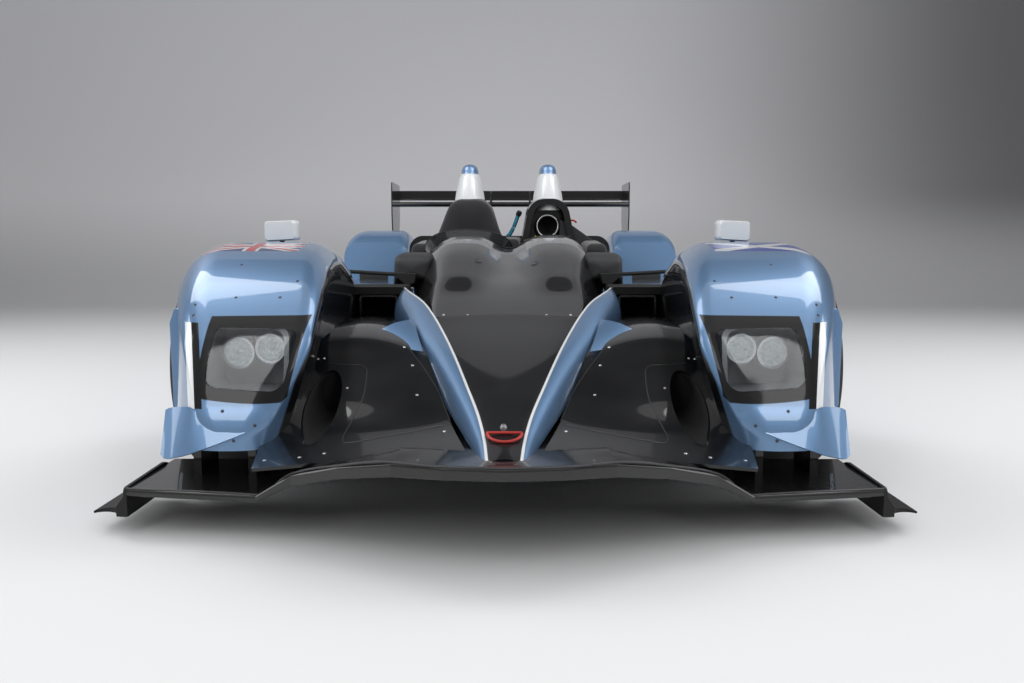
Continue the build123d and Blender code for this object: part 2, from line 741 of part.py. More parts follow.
def floor():
    """Flat floor between the wheels, narrowed beside the rear tyres."""
    front = FRONT_AXLE_Y + TYRE_R_FRONT + 50
    rear = REAR_AXLE_Y - TYRE_R_REAR - 30
    inner = TYRE_OUT_X - TYRE_W_REAR - 30
    end = REAR_AXLE_Y + 60
    points = [(-300, front - 260), (300, front - 260), (420, front), (HALF_WIDTH - 60, front + 40),
              (HALF_WIDTH - 20, rear), (inner, rear), (inner, end), (-inner, end), (-inner, rear),
              (-HALF_WIDTH + 20, rear), (-HALF_WIDTH + 60, front + 40), (-420, front)]
    rounding = [30, 30, 60, 40, 20, 20, 10, 10, 20, 20, 40, 60]
    return plan_prism(points, FLOOR_TOP - FLOOR_T, FLOOR_TOP, rounding)


def diffuser():
    """Rising tunnel behind the floor with its upright fences."""
    start = REAR_AXLE_Y + 60 + REST_GAP
    half = TYRE_OUT_X - TYRE_W_REAR - 30
    end = TAIL_Y - 60
    profile = [(start, FLOOR_TOP - FLOOR_T), (start, FLOOR_TOP), (end, 270), (end, 258)]
    shape = side_prism(profile, -half, half, [1, 1, 2, 2])
    for x in (-half + 4, -half * 0.55, -half * 0.2, half * 0.2, half * 0.55, half - 4):
        outline = [(start + 60, FLOOR_TOP + 4), (end - 4, 262), (end - 4, 90), (start + 60, FLOOR_TOP - 10)]
        fence = side_prism(outline, x - 4, x + 4, [1, 1, 10, 1])
        shape += fence
    return shape


def aerofoil(lead_y, lead_z, chord, thick, tilt, x0, x1):
    """A wing section: flat top, curved belly, carried across the car."""
    top = [(0, 0), (chord, 0)]
    nose = ThreePointArc((0, 0), (-thick * 0.3, -thick * 0.45), (0, -thick * 0.9))
    belly = ThreePointArc((0, -thick * 0.9), (chord * 0.45, -thick), (chord, -3))
    tail = Line((chord, -3), (chord, 0))
    upper = Line((chord, 0), (0, 0))
    face = Face(Wire([nose, belly, tail, upper]))
    solid = extrude(face, amount=x1 - x0)
    placed = Plane(origin=(x0, lead_y, lead_z), x_dir=(0, math.cos(tilt), math.sin(tilt)), z_dir=(1, 0, 0))
    return Part() + placed.location * solid


def wing_endplate():
    """Plate at the end of the rear wing."""
    points = [(WING_LEAD_Y + 20, WING_PLATE_BOTTOM + 90), (WING_LEAD_Y + 120, WING_PLATE_BOTTOM),
              (TAIL_Y - 80, WING_PLATE_BOTTOM), (TAIL_Y, WING_PLATE_BOTTOM + 180),
              (TAIL_Y, WING_PLATE_TOP), (WING_LEAD_Y, WING_PLATE_TOP),
              (WING_LEAD_Y, WING_PLATE_BOTTOM + 200)]
    x0 = WING_HALF + REST_GAP
    return side_prism(points, x0, x0 + WING_PLATE_T, [30, 20, 20, 60, 20, 20, 30])


def wing_pylon():
    """Swan-neck plate from the gearbox round the wing's front edge to its top."""
    lead = WING_LEAD_Y
    points = [(lead - 240, GEARBOX_TOP), (lead - 40, GEARBOX_TOP),
              (lead - 50, WING_Z - 40), (lead - 30, WING_Z + 20),
              (lead + 40, WING_Z + 3), (lead + 160, WING_Z + 3), (lead + 150, WING_Z + 50),
              (lead + 20, WING_Z + 78), (lead - 100, WING_Z + 40)]
    return side_prism(points, PYLON_X - PYLON_T / 2, PYLON_X + PYLON_T / 2,
                      [6, 6, 60, 30, 10, 6, 20, 90, 80])


def crash_structure():
    """Tapered box behind the gearbox with the rear tow eye."""
    table = [
        (GEARBOX_BACK_Y + REST_GAP, 90, 84, 270, 396, 16),
        (TAIL_Y - 110, 66, 60, 290, 380, 14),
    ]
    rows = central_rows(table)
    box = Part() + hull(rows, foot=12)
    y = TAIL_Y - 110
    eye = side_prism([(y - 10, 310), (y + 60, 310), (y + 60, 366), (y - 10, 366)],
                     -TOW_T / 2, TOW_T / 2, [4, 27, 27, 4])
    eye -= rod_x(-TOW_T, TOW_T, y + 32, 338, TOW_PIN_R)
    return box + eye


def main():
    """Build every node of the car."""
    tub_envelope = Part() + hull(TUB_ROWS, -REST_GAP, foot=20, ruled=True)
    front_splitter = splitter()
    plate = splitter_endplate()
    save("front_splitter", front_splitter)
    save("splitter_endplates", plate, mirrored(plate))

    nose = Part() + hull(nose_rows(), foot=4, ruled=True) - front_splitter
    save("nose_cone", nose)
    cover, cover_envelope = cowl(tub_envelope)
    rail = largest(strake() - front_splitter - nose - cover_envelope - tub_envelope)
    save("nose_strakes", rail, mirrored(rail))
    skin, lens, pod_envelope = front_fender()
    panel = deck() - front_splitter - nose - rail - tub_envelope - cover_envelope - pod_envelope
    panel = largest(panel)
    save("front_decks", panel, mirrored(panel))
    canard = largest(deck_canard() - panel - rail - cover)
    save("deck_canards", canard, mirrored(canard))

    save("front_fender_left", skin)
    save("front_fender_right", mirrored(skin))
    save("headlight_covers", lens, mirrored(lens))
    unit = largest(headlight_unit() - skin - lens)
    save("headlight_units", unit, mirrored(unit))
    vane = largest(dive_plane() - pod_envelope)
    save("dive_planes", vane, mirrored(vane))
    glass = largest(mirror_pair() - pod_envelope)
    save("mirrors", glass, mirrored(glass))

    save("monocoque", monocoque())
    engine_envelope = Part() + hull(COVER_ROWS, foot=COVER_FOOT, ruled=True)
    left = largest(fairing(INTAKE_X) - engine_envelope - cover)
    right = largest(fairing(DRIVER_X) - engine_envelope - cover)
    save("cockpit_cowl", cover)
    save("windscreen", largest(windscreen() - cover_envelope))
    pod = sidepod()
    pod = pod - pod_envelope - cover - panel
    save("sidepod_left", pod)
    save("sidepod_right", mirrored(pod))
    ear = largest(side_ear() - cover_envelope - pod_envelope - pod - rail)
    save("cockpit_ears", ear, mirrored(ear))
    core = radiator() - pod
    save("radiators", core, mirrored(core))

    mouth = offset_rows(INTAKE_X, [(300, 84, 84, 708, 880, 84), (620, 84, 84, 708, 880, 84)])
    pylon = wing_pylon()
    slot = block(PYLON_X - PYLON_T / 2 - PANEL_GAP, PYLON_X + PYLON_T / 2 + PANEL_GAP,
                 WING_LEAD_Y - 300, TAIL_Y, 380, 900)
    left = left - slot
    right = right - mirrored(slot)
    scoop = left - hull(mouth, foot=60)
    fin_left = largest(hoop_fin(INTAKE_X) - hull(offset_rows(INTAKE_X, FAIRING), -REST_GAP, foot=4))
    fin_right = largest(hoop_fin(DRIVER_X) - hull(offset_rows(DRIVER_X, FAIRING), -REST_GAP, foot=4))
    save("intake_fairing", scoop)
    save("headrest_fairing", right)
    save("hoop_fins", fin_left, fin_right)

    engine_skin = shell(COVER_ROWS, BODY_WALL, 60.0, COVER_FOOT, front=60.0, back=60.0, ruled=True)
    engine_skin = engine_skin - tub_envelope - slot - mirrored(slot)
    rear_skin = shell(rear_fender_rows(), BODY_WALL, drop=60.0, back=60.0)
    rear_arch = rod_x(TRACK_X_REAR + 40, HALF_WIDTH + 60, REAR_AXLE_Y, TYRE_R_REAR, TYRE_R_REAR + 22)
    rear_inner = block(500, 640, REAR_AXLE_Y - 330, REAR_AXLE_Y + 900, 40, 476)
    rear_skin = rear_skin - rear_arch - rear_inner
    save("rear_fender_left", rear_skin)
    save("rear_fender_right", mirrored(rear_skin))
    engine_skin = engine_skin - rear_skin - mirrored(rear_skin) - pod - mirrored(pod)
    save("engine_cover", largest(engine_skin))

    save("engine_block", block(-190, 190, TUB_BACK_Y + 2 * REST_GAP, ENGINE_BACK_Y, FLOOR_TOP, 440))
    gearbox = Part() + hull(GEARBOX_ROWS, foot=20)
    main_plane = aerofoil(WING_LEAD_Y, WING_Z, WING_CHORD, WING_T, 0.05, -WING_HALF, WING_HALF)
    flap = aerofoil(WING_LEAD_Y + WING_CHORD - 20, WING_Z + 32, FLAP_CHORD, 14, 0.5, -WING_HALF, WING_HALF)
    pylon = pylon - main_plane
    save("gearbox", gearbox)
    tail = crash_structure()
    save("crash_structure", tail)
    save("wing_planes", main_plane, flap)
    plate = wing_endplate() - rear_skin
    save("wing_endplates", plate, mirrored(plate))
    save("wing_pylons", pylon, mirrored(pylon))
    save("floor", floor())
    save("skid_block", plan_prism([(-240, -900), (240, -900), (240, 1500), (-240, 1500)],
                                  FLOOR_TOP - FLOOR_T - SKID_T, FLOOR_TOP - FLOOR_T, [60, 60, 60, 60]))
    save("diffuser", diffuser())
    save("driver_chair", chair())
    save("dashboard", dashboard())
    plate_x = WING_HALF + 2 * REST_GAP + WING_PLATE_T
    lamp = block(plate_x, plate_x + 20, TAIL_Y - 60, TAIL_Y - 20, 900, 980)
    save("tail_lamps", lamp, mirrored(lamp))

    save("steering_rack", rack())
    save("steering_wheel", steering_wheel())
    arms = wishbones(190, TYRE_R_FRONT, TRACK_X_FRONT, FRONT_AXLE_Y, (30, 250))
    arms = [largest(arm - tub_envelope) for arm in arms]
    save("front_wishbones", *arms, *[mirrored(arm) for arm in arms])
    arms = wishbones(110, TYRE_R_REAR, TRACK_X_REAR, REAR_AXLE_Y, (-170, 170))
    arms = [largest(arm - hull(GEARBOX_ROWS, -REST_GAP, foot=20)) for arm in arms]
    save("rear_wishbones", *arms, *[mirrored(arm) for arm in arms])
    rear_post = knuckle(1, TYRE_R_REAR, TRACK_X_REAR, TYRE_W_REAR, REAR_AXLE_Y, False)
    save("rear_uprights", rear_post, mirrored(rear_post))
    for name, side in (("left", 1), ("right", -1)):
        save("knuckle_" + name, knuckle(side, TYRE_R_FRONT, TRACK_X_FRONT, TYRE_W_FRONT, FRONT_AXLE_Y, True))
        save("front_tyre_" + name, tyre(TYRE_R_FRONT, TYRE_W_FRONT, side * TRACK_X_FRONT, FRONT_AXLE_Y))
        save("front_rim_" + name, rim(TYRE_R_FRONT, TYRE_W_FRONT, side * TRACK_X_FRONT, FRONT_AXLE_Y, side))
        save("rear_tyre_" + name, tyre(TYRE_R_REAR, TYRE_W_REAR, side * TRACK_X_REAR, REAR_AXLE_Y))
        save("rear_rim_" + name, rim(TYRE_R_REAR, TYRE_W_REAR, side * TRACK_X_REAR, REAR_AXLE_Y, side))


os.makedirs("parts", exist_ok=True)
main()
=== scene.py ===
"""Looks of an open-cockpit sports prototype race car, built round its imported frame.

The car faces -Y, +X is its left side, +Z is up and the ground is Z = 0. Every size is in metres.
"""

import logging
import math
from dataclasses import dataclass
from enum import Enum
from functools import lru_cache
from typing import Dict, Iterable, List, Optional, Sequence, Tuple

import bmesh
import bpy
import numpy as np
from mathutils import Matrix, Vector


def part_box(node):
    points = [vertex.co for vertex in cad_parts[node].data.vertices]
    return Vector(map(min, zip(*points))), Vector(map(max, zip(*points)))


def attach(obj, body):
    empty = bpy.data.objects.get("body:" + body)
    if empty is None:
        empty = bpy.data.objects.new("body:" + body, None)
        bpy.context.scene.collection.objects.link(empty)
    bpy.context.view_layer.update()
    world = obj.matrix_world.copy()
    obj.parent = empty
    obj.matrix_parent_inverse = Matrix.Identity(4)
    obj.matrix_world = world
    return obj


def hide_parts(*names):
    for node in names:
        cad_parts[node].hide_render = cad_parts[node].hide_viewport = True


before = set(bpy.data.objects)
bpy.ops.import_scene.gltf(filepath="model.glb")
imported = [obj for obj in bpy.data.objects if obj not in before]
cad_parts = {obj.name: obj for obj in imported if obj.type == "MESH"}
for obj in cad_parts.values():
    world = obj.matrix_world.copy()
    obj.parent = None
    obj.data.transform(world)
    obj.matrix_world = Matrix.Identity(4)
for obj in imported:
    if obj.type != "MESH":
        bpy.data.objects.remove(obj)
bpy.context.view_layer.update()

Point = Tuple[float, float, float]
Colour = Tuple[float, float, float, float]
Outline = Tuple[Tuple[float, float], ...]
Rows = Tuple[Tuple[float, ...], ...]
LOG = logging.getLogger("car")


def middle(node: str) -> np.ndarray:
    """Centre of a CAD node's box, in metres."""
    low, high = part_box(node)
    return (np.array(low) + np.array(high)) / 2


FRONT_AXLE = middle("front_tyre_left")
SIDES = ((1, "left"), (-1, "right"))


# Surfaces


def monotone(ys: np.ndarray, rows: np.ndarray, at: np.ndarray) -> np.ndarray:
    """Smooth run through the rows of a table that never overshoots them.

    Each column is a cubic Hermite curve between two rows. Its slope at a row is the weighted harmonic
    mean of the slopes on both sides, or zero where they differ in sign.

    Args:
        ys: increasing places of the rows.
        rows: one row of values for each place.
        at: places where the values are wanted.

    Returns:
        One row of values for each wanted place.
    """
    step = np.diff(ys)[:, None]
    slope = np.diff(rows, axis=0) / step
    left, right = slope[:-1], slope[1:]
    near, far = 2 * step[1:] + step[:-1], step[1:] + 2 * step[:-1]
    with np.errstate(divide="ignore", invalid="ignore"):
        mean = (near + far) / (near / left + far / right)
    inner = np.where(left * right > 0, mean, 0.0)
    tangent = np.vstack([slope[:1], inner, slope[-1:]])
    index = np.clip(np.searchsorted(ys, at, side="right") - 1, 0, len(ys) - 2)
    run = step[index]
    t = ((at - ys[index]) / run[:, 0])[:, None]
    start, end = rows[index], rows[index + 1]
    lead, trail = tangent[index] * run, tangent[index + 1] * run
    blend = t * t * (3 - 2 * t)
    return start + (end - start) * blend + lead * (t * (1 - t) ** 2) - trail * (t * t * (1 - t))


def rounded(before: np.ndarray, corner: np.ndarray, after: np.ndarray, radius: np.ndarray,
            steps: int) -> np.ndarray:
    """Arc that rounds a corner of many sections at once.

    The arc is a rational quadratic curve from one tangent point to the other, with the corner as its middle
    control point and the sine of half the inner angle as that point's weight, which is exactly a circle.

    Args:
        before: corners before, one row each.
        corner: corners to round.
        after: corners after.
        radius: radius of each arc.
        steps: points on each arc.

    Returns:
        Array of sections by steps by two.
    """
    back = before - corner
    ahead = after - corner
    back_length = np.linalg.norm(back, axis=1)
    ahead_length = np.linalg.norm(ahead, axis=1)
    back /= back_length[:, None]
    ahead /= ahead_length[:, None]
    half = np.arccos(np.clip((back * ahead).sum(axis=1), -1, 1)) / 2
    reach = np.minimum(radius / np.tan(half), 0.49 * np.minimum(back_length, ahead_length))
    weight = np.sin(half)[:, None, None]
    t = np.linspace(0, 1, steps)[None, :, None]
    start = (corner + back * reach[:, None])[:, None, :]
    end = (corner + ahead * reach[:, None])[:, None, :]
    near, mid, far = (1 - t) ** 2, 2 * t * (1 - t) * weight, t ** 2
    return (near * start + mid * corner[:, None, :] + far * end) / (near + mid + far)


def chain(corners: Sequence[np.ndarray], radii: Sequence[np.ndarray], arc: int, run: int,
          closed: bool) -> np.ndarray:
    """Sections through rounded corners, with straight runs between the arcs.

    Args:
        corners: one array of sections by two for each corner, in order.
        radii: one array of radii for each corner; an open chain's ends take none.
        arc: points on an arc.
        run: points on a straight run.
        closed: whether the last corner joins the first.

    Returns:
        Array of sections by points by two.
    """
    count = len(corners)
    arcs: List[np.ndarray] = []
    for index, corner in enumerate(corners):
        if closed or 0 < index < count - 1:
            before, after = corners[index - 1], corners[(index + 1) % count]
            arcs.append(rounded(before, corner, after, radii[index], arc))
        else:
            arcs.append(corner[:, None, :])
    pieces: List[np.ndarray] = []
    t = np.linspace(0, 1, run + 2)[None, 1:-1, None]
    for index, piece in enumerate(arcs):
        pieces.append(piece)
        if closed or index < count - 1:
            ahead = arcs[(index + 1) % count]
            pieces.append(piece[:, -1:, :] * (1 - t) + ahead[:, :1, :] * t)
    return np.concatenate(pieces, axis=1)


def quads(rows: int, columns: int, round_rows: bool = False, round_columns: bool = False) -> np.ndarray:
    """Faces of a grid of points.

    Args:
        rows: number of rows.
        columns: number of columns.
        round_rows: whether the last row joins the first.
        round_columns: whether the last column joins the first.

    Returns:
        Four point numbers for each face.
    """
    index = np.arange(rows * columns).reshape(rows, columns)
    if round_rows:
        index = np.vstack([index, index[:1]])
    if round_columns:
        index = np.hstack([index, index[:, :1]])
    ring = [index[:-1, :-1], index[:-1, 1:], index[1:, 1:], index[1:, :-1]]
    return np.stack(ring, axis=-1).reshape(-1, 4)


def outline(points: Sequence[Tuple[float, float]], radii: Sequence[float], arc: int = 9) -> np.ndarray:
    """Closed outline in a plane: its corners, a radius for each, and the points on each rounding."""
    corners = [np.array([point]) for point in points]
    return chain(corners, [np.array([radius]) for radius in radii], arc, 1, True)[0]


def ellipse(centre: Tuple[float, float], half: Tuple[float, float], steps: int = 64) -> np.ndarray:
    """Points round an ellipse: centre plus half sizes times the cosine and sine of an even turn."""
    turn = circle(steps)
    return points_of(centre[0] + half[0] * np.cos(turn), centre[1] + half[1] * np.sin(turn))


def normals_of(grid: np.ndarray) -> np.ndarray:
    """Unit normals of a grid of points: the cross product of its two tangents at each point."""
    along, across = np.gradient(grid, axis=0), np.gradient(grid, axis=1)
    normal = np.cross(along, across)
    return normal / np.maximum(np.linalg.norm(normal, axis=2, keepdims=True), 1e-9)


def spread(rows: Rows, steps: int) -> np.ndarray:
    """Even places from a table's first row to its last, as a column."""
    return np.linspace(rows[0][0], rows[-1][0], steps)[:, None]


def columns(rows: Rows, at: np.ndarray) -> np.ndarray:
    """Smooth run through a table whose first column holds the places.

    Args:
        rows: the table.
        at: wanted places, as a column.

    Returns:
        The other columns of the table at the wanted places, each as a column.
    """
    table = np.array(rows)
    return monotone(table[:, 0], table[:, 1:], at[:, 0]).T[:, :, None]


def points_of(*parts: object) -> np.ndarray:
    """Points from their coordinates, each a number, row, column or grid that is stretched to one size."""
    return np.stack(np.broadcast_arrays(*parts), axis=-1)


def circle(steps: int) -> np.ndarray:
    """Even angles once round."""
    return np.linspace(0, 2 * math.pi, steps, endpoint=False)


def corners_of(places: Sequence[object], low: np.ndarray, high: np.ndarray) -> List[np.ndarray]:
    """Corners of four-sided sections from their places across, in the order low, high, high, low."""
    return [points_of(place, height) for place, height in zip(places, (low, high, high, low))]


def smoothed(values: np.ndarray, width: int) -> np.ndarray:
    """Moving average over an odd number of values, with both ends repeated."""
    return np.convolve(np.pad(values, width // 2, mode="edge"), np.ones(width) / width, "valid")


def square_to(directions: np.ndarray) -> Tuple[np.ndarray, np.ndarray]:
    """Two unit vectors square to each direction and to each other.

    Args:
        directions: unit vectors by three.

    Returns:
        The first and the second of each.
    """
    helper = np.where(np.abs(directions[:, 2:3]) < 0.9, [[0.0, 0.0, 1.0]], [[1.0, 0.0, 0.0]])
    right = np.cross(directions, helper)
    right /= np.linalg.norm(right, axis=1, keepdims=True)
    return right, np.cross(right, directions)


# Shader arithmetic


class Value:
    """A number in a shader, whose arithmetic adds Math nodes."""

    def __init__(self, shader: "Shader", socket: bpy.types.NodeSocket) -> None:
        """Wrap an output socket.

        Args:
            shader: the shader it belongs to.
            socket: the output socket.
        """
        self.shader = shader
        self.socket = socket

    def math(self, operation: str, *others: object) -> "Value":
        """One Math node with this value first and the others after it."""
        return self.shader.add("ShaderNodeMath", {"operation": operation}, (self, *others))

    def __add__(self, other: object) -> "Value":
        """Sum."""
        return self.math("ADD", other)

    __radd__ = __add__

    def __mul__(self, other: object) -> "Value":
        """Product."""
        return self.math("MULTIPLY", other)

    __rmul__ = __mul__

    def __sub__(self, other: object) -> "Value":
        """Difference."""
        return self.math("SUBTRACT", other)

    def __rsub__(self, other: float) -> "Value":
        """Difference from a number."""
        return self.shader.add("ShaderNodeMath", {"operation": "SUBTRACT"}, (other, self))

    def __truediv__(self, other: object) -> "Value":
        """Quotient."""
        return self.math("DIVIDE", other)

    def __gt__(self, other: object) -> "Value":
        """One where this is greater."""
        return self.math("GREATER_THAN", other)

    def __lt__(self, other: object) -> "Value":
        """One where this is less."""
        return self.math("LESS_THAN", other)

    def magnitude(self) -> "Value":
        """Absolute value."""
        return self.math("ABSOLUTE")

    def fraction(self) -> "Value":
        """Fractional part."""
        return self.math("FRACT")

    def smooth(self, low: float, high: float) -> "Value":
        """Smooth step from zero at low to one at high, which may be the lower of the two.

        Args:
            low: where the result is zero.
            high: where the result is one.

        Returns:
            The step.
        """
        if low > high:
            return 1 - self.smooth(high, low)
        settings = {"interpolation_type": "SMOOTHSTEP"}
        return self.shader.add("ShaderNodeMapRange", settings, (self, low, high, 0.0, 1.0))


class Shader:
    """A material or a world that is being written."""

    def __init__(self, owner: object) -> None:
        """Empty its node tree.

        Args:
            owner: the material or the world.
        """
        owner.use_nodes = True
        self.tree = owner.node_tree
        self.tree.nodes.clear()

    def plug(self, socket: bpy.types.NodeSocket, value: object) -> None:
        """Set or link one input socket.

        Args:
            socket: the input socket.
            value: a Value, or what the socket's default takes.
        """
        if isinstance(value, Value):
            self.tree.links.new(value.socket, socket)
        elif value is not None:
            socket.default_value = value

    def add(self, kind: str, settings: Optional[Dict[str, object]] = None,
            values: object = (), out: object = 0) -> Value:
        """Add a node: its settings first, then its inputs.

        Args:
            kind: the node's type.
            settings: attributes of the node.
            values: inputs by order, or by name or number in a dict.
            out: name or number of the output that is wanted.

        Returns:
            The output.
        """
        node = self.tree.nodes.new(kind)
        for name, setting in (settings or {}).items():
            setattr(node, name, setting)
        pairs = values.items() if isinstance(values, dict) else enumerate(values)
        for key, value in pairs:
            self.plug(node.inputs[key], value)
        return Value(self, node.outputs[out])

    def place(self) -> Value:
        """Object coordinates, which are the car's own."""
        return self.add("ShaderNodeTexCoord", out="Object")

    def xyz(self) -> Tuple[Value, Value, Value]:
        """The three object coordinates as numbers."""
        split = self.add("ShaderNodeSeparateXYZ", values=(self.place(),))
        outputs = split.socket.node.outputs
        return split, Value(self, outputs[1]), Value(self, outputs[2])

    def noise(self, scale: float, detail: float = 3.0, stretch: Point = (1, 1, 1)) -> Value:
        """Soft noise from 0 to 1: grains for each metre, octaves, and how much finer along each axis."""
        place = self.add("ShaderNodeMapping", values={0: self.place(), 3: stretch})
        return self.add("ShaderNodeTexNoise", values={"Vector": place, "Scale": scale, "Detail": detail})

    def colour(self, factor: object, first: object, second: object) -> Value:
        """Mix of two colours or links: a factor of 0 gives the first, and 1 the second."""
        settings = {"data_type": "RGBA"}
        return self.add("ShaderNodeMix", settings, {0: factor, 6: first, 7: second}, out=2)

    def bump(self, height: Value, strength: float, depth: float) -> Value:
        """Normal from a height, how much of it shows, and the metres for a height of one."""
        return self.add("ShaderNodeBump", values={"Strength": strength, "Distance": depth, "Height": height})

    def principled(self, **inputs: object) -> Value:
        """Principled shader from its sockets by name, with spaces as low lines."""
        values = {name.replace("_", " "): value for name, value in inputs.items()}
        return self.add("ShaderNodeBsdfPrincipled", values=values)

    def finish(self, kind: str, surface: Value) -> None:
        """Show a shader through an output node of that type."""
        node = self.tree.nodes.new(kind)
        self.tree.links.new(surface.socket, node.inputs["Surface"])


def grey(level: float) -> Colour:
    """An opaque grey of that level."""
    return (level, level, level, 1.0)


def times(colour: Colour, factor: float) -> Colour:
    """A colour made lighter or darker by a factor."""
    red, green, blue, _ = colour
    return (factor * red, factor * green, factor * blue, 1.0)


def sloped(at: Value, line: Point) -> Value:
    """Value of a straight line in a shader: a place, the value there, and the slope."""
    start, level, slope = line
    return (at - start) * slope + level


# Finishes

BLUE: Colour = (0.168, 0.305, 0.520, 1.0)
NAVY: Colour = (0.012, 0.030, 0.190, 1.0)
WHITE: Colour = (0.80, 0.82, 0.84, 1.0)
RED: Colour = (0.62, 0.020, 0.028, 1.0)
BLACK: Colour = (0.0035, 0.0038, 0.0048, 1.0)
METAL = 0.62
FLAKES = 2600.0


def lacquer(shader: Shader, colour: object, metal: object, rough: object, coat: object = 0.92) -> Value:
    """Clear-coated paint with a fine orange peel and faint dust.

    Args:
        shader: the shader being written.
        colour: base colour.
        metal: how metallic the flake is.
        rough: roughness under the coat.
        coat: weight of the clear coat.

    Returns:
        The shader's surface.
    """
    peel = shader.noise(420, 2)
    dust = shader.noise(9, 4)
    return shader.principled(
        Base_Color=colour, Metallic=metal, Roughness=rough + 0.06 * dust,
        Normal=shader.bump(peel, 0.035, 0.0006), Coat_Weight=coat + 0.08 * dust, Coat_Roughness=0.035,
        Specular_IOR_Level=0.2)


def metallic(shader: Shader) -> Tuple[Value, Value]:
    """Metallic blue: fine flakes over a darker ground.

    Args:
        shader: the shader being written.

    Returns:
        The flakes and the colour.
    """
    flakes = shader.noise(FLAKES, 1)
    cloud = shader.noise(3, 3)
    return flakes, shader.colour(flakes.smooth(0.35, 0.75) * 0.6 + cloud * 0.3, times(BLUE, 0.78), BLUE)


def stained(shader: Shader) -> Tuple[Value, Value]:
    """White with soft stains: the stains, and the colour."""
    stain = shader.noise(30, 4)
    return stain, shader.colour(stain * 0.25, WHITE, grey(0.62))


@dataclass(frozen=True)
class Finish:
    """A material whose surface a subclass writes."""

    name: str

    def surface(self, shader: Shader) -> Value:
        """Write the surface.

        Args:
            shader: the shader being written.

        Returns:
            The surface to show.
        """
        raise NotImplementedError

    def build(self) -> bpy.types.Material:
        """Write the material."""
        material = bpy.data.materials.new(self.name)
        shader = Shader(material)
        shader.finish("ShaderNodeOutputMaterial", self.surface(shader))
        return material


@dataclass(frozen=True)
class BluePaint(Finish):
    """Metallic blue lacquer: fine flakes, a darker ground and thin dust."""

    name: str = "metallic_blue"

    def surface(self, shader: Shader) -> Value:
        """Write the surface."""
        flakes, colour = metallic(shader)
        return lacquer(shader, colour, METAL, 0.33 + 0.1 * flakes)


class Flag(Enum):
    """Which plain flag pattern lies on a pod's top."""

    CROSSES = "crosses"
    SALTIRE = "saltire"


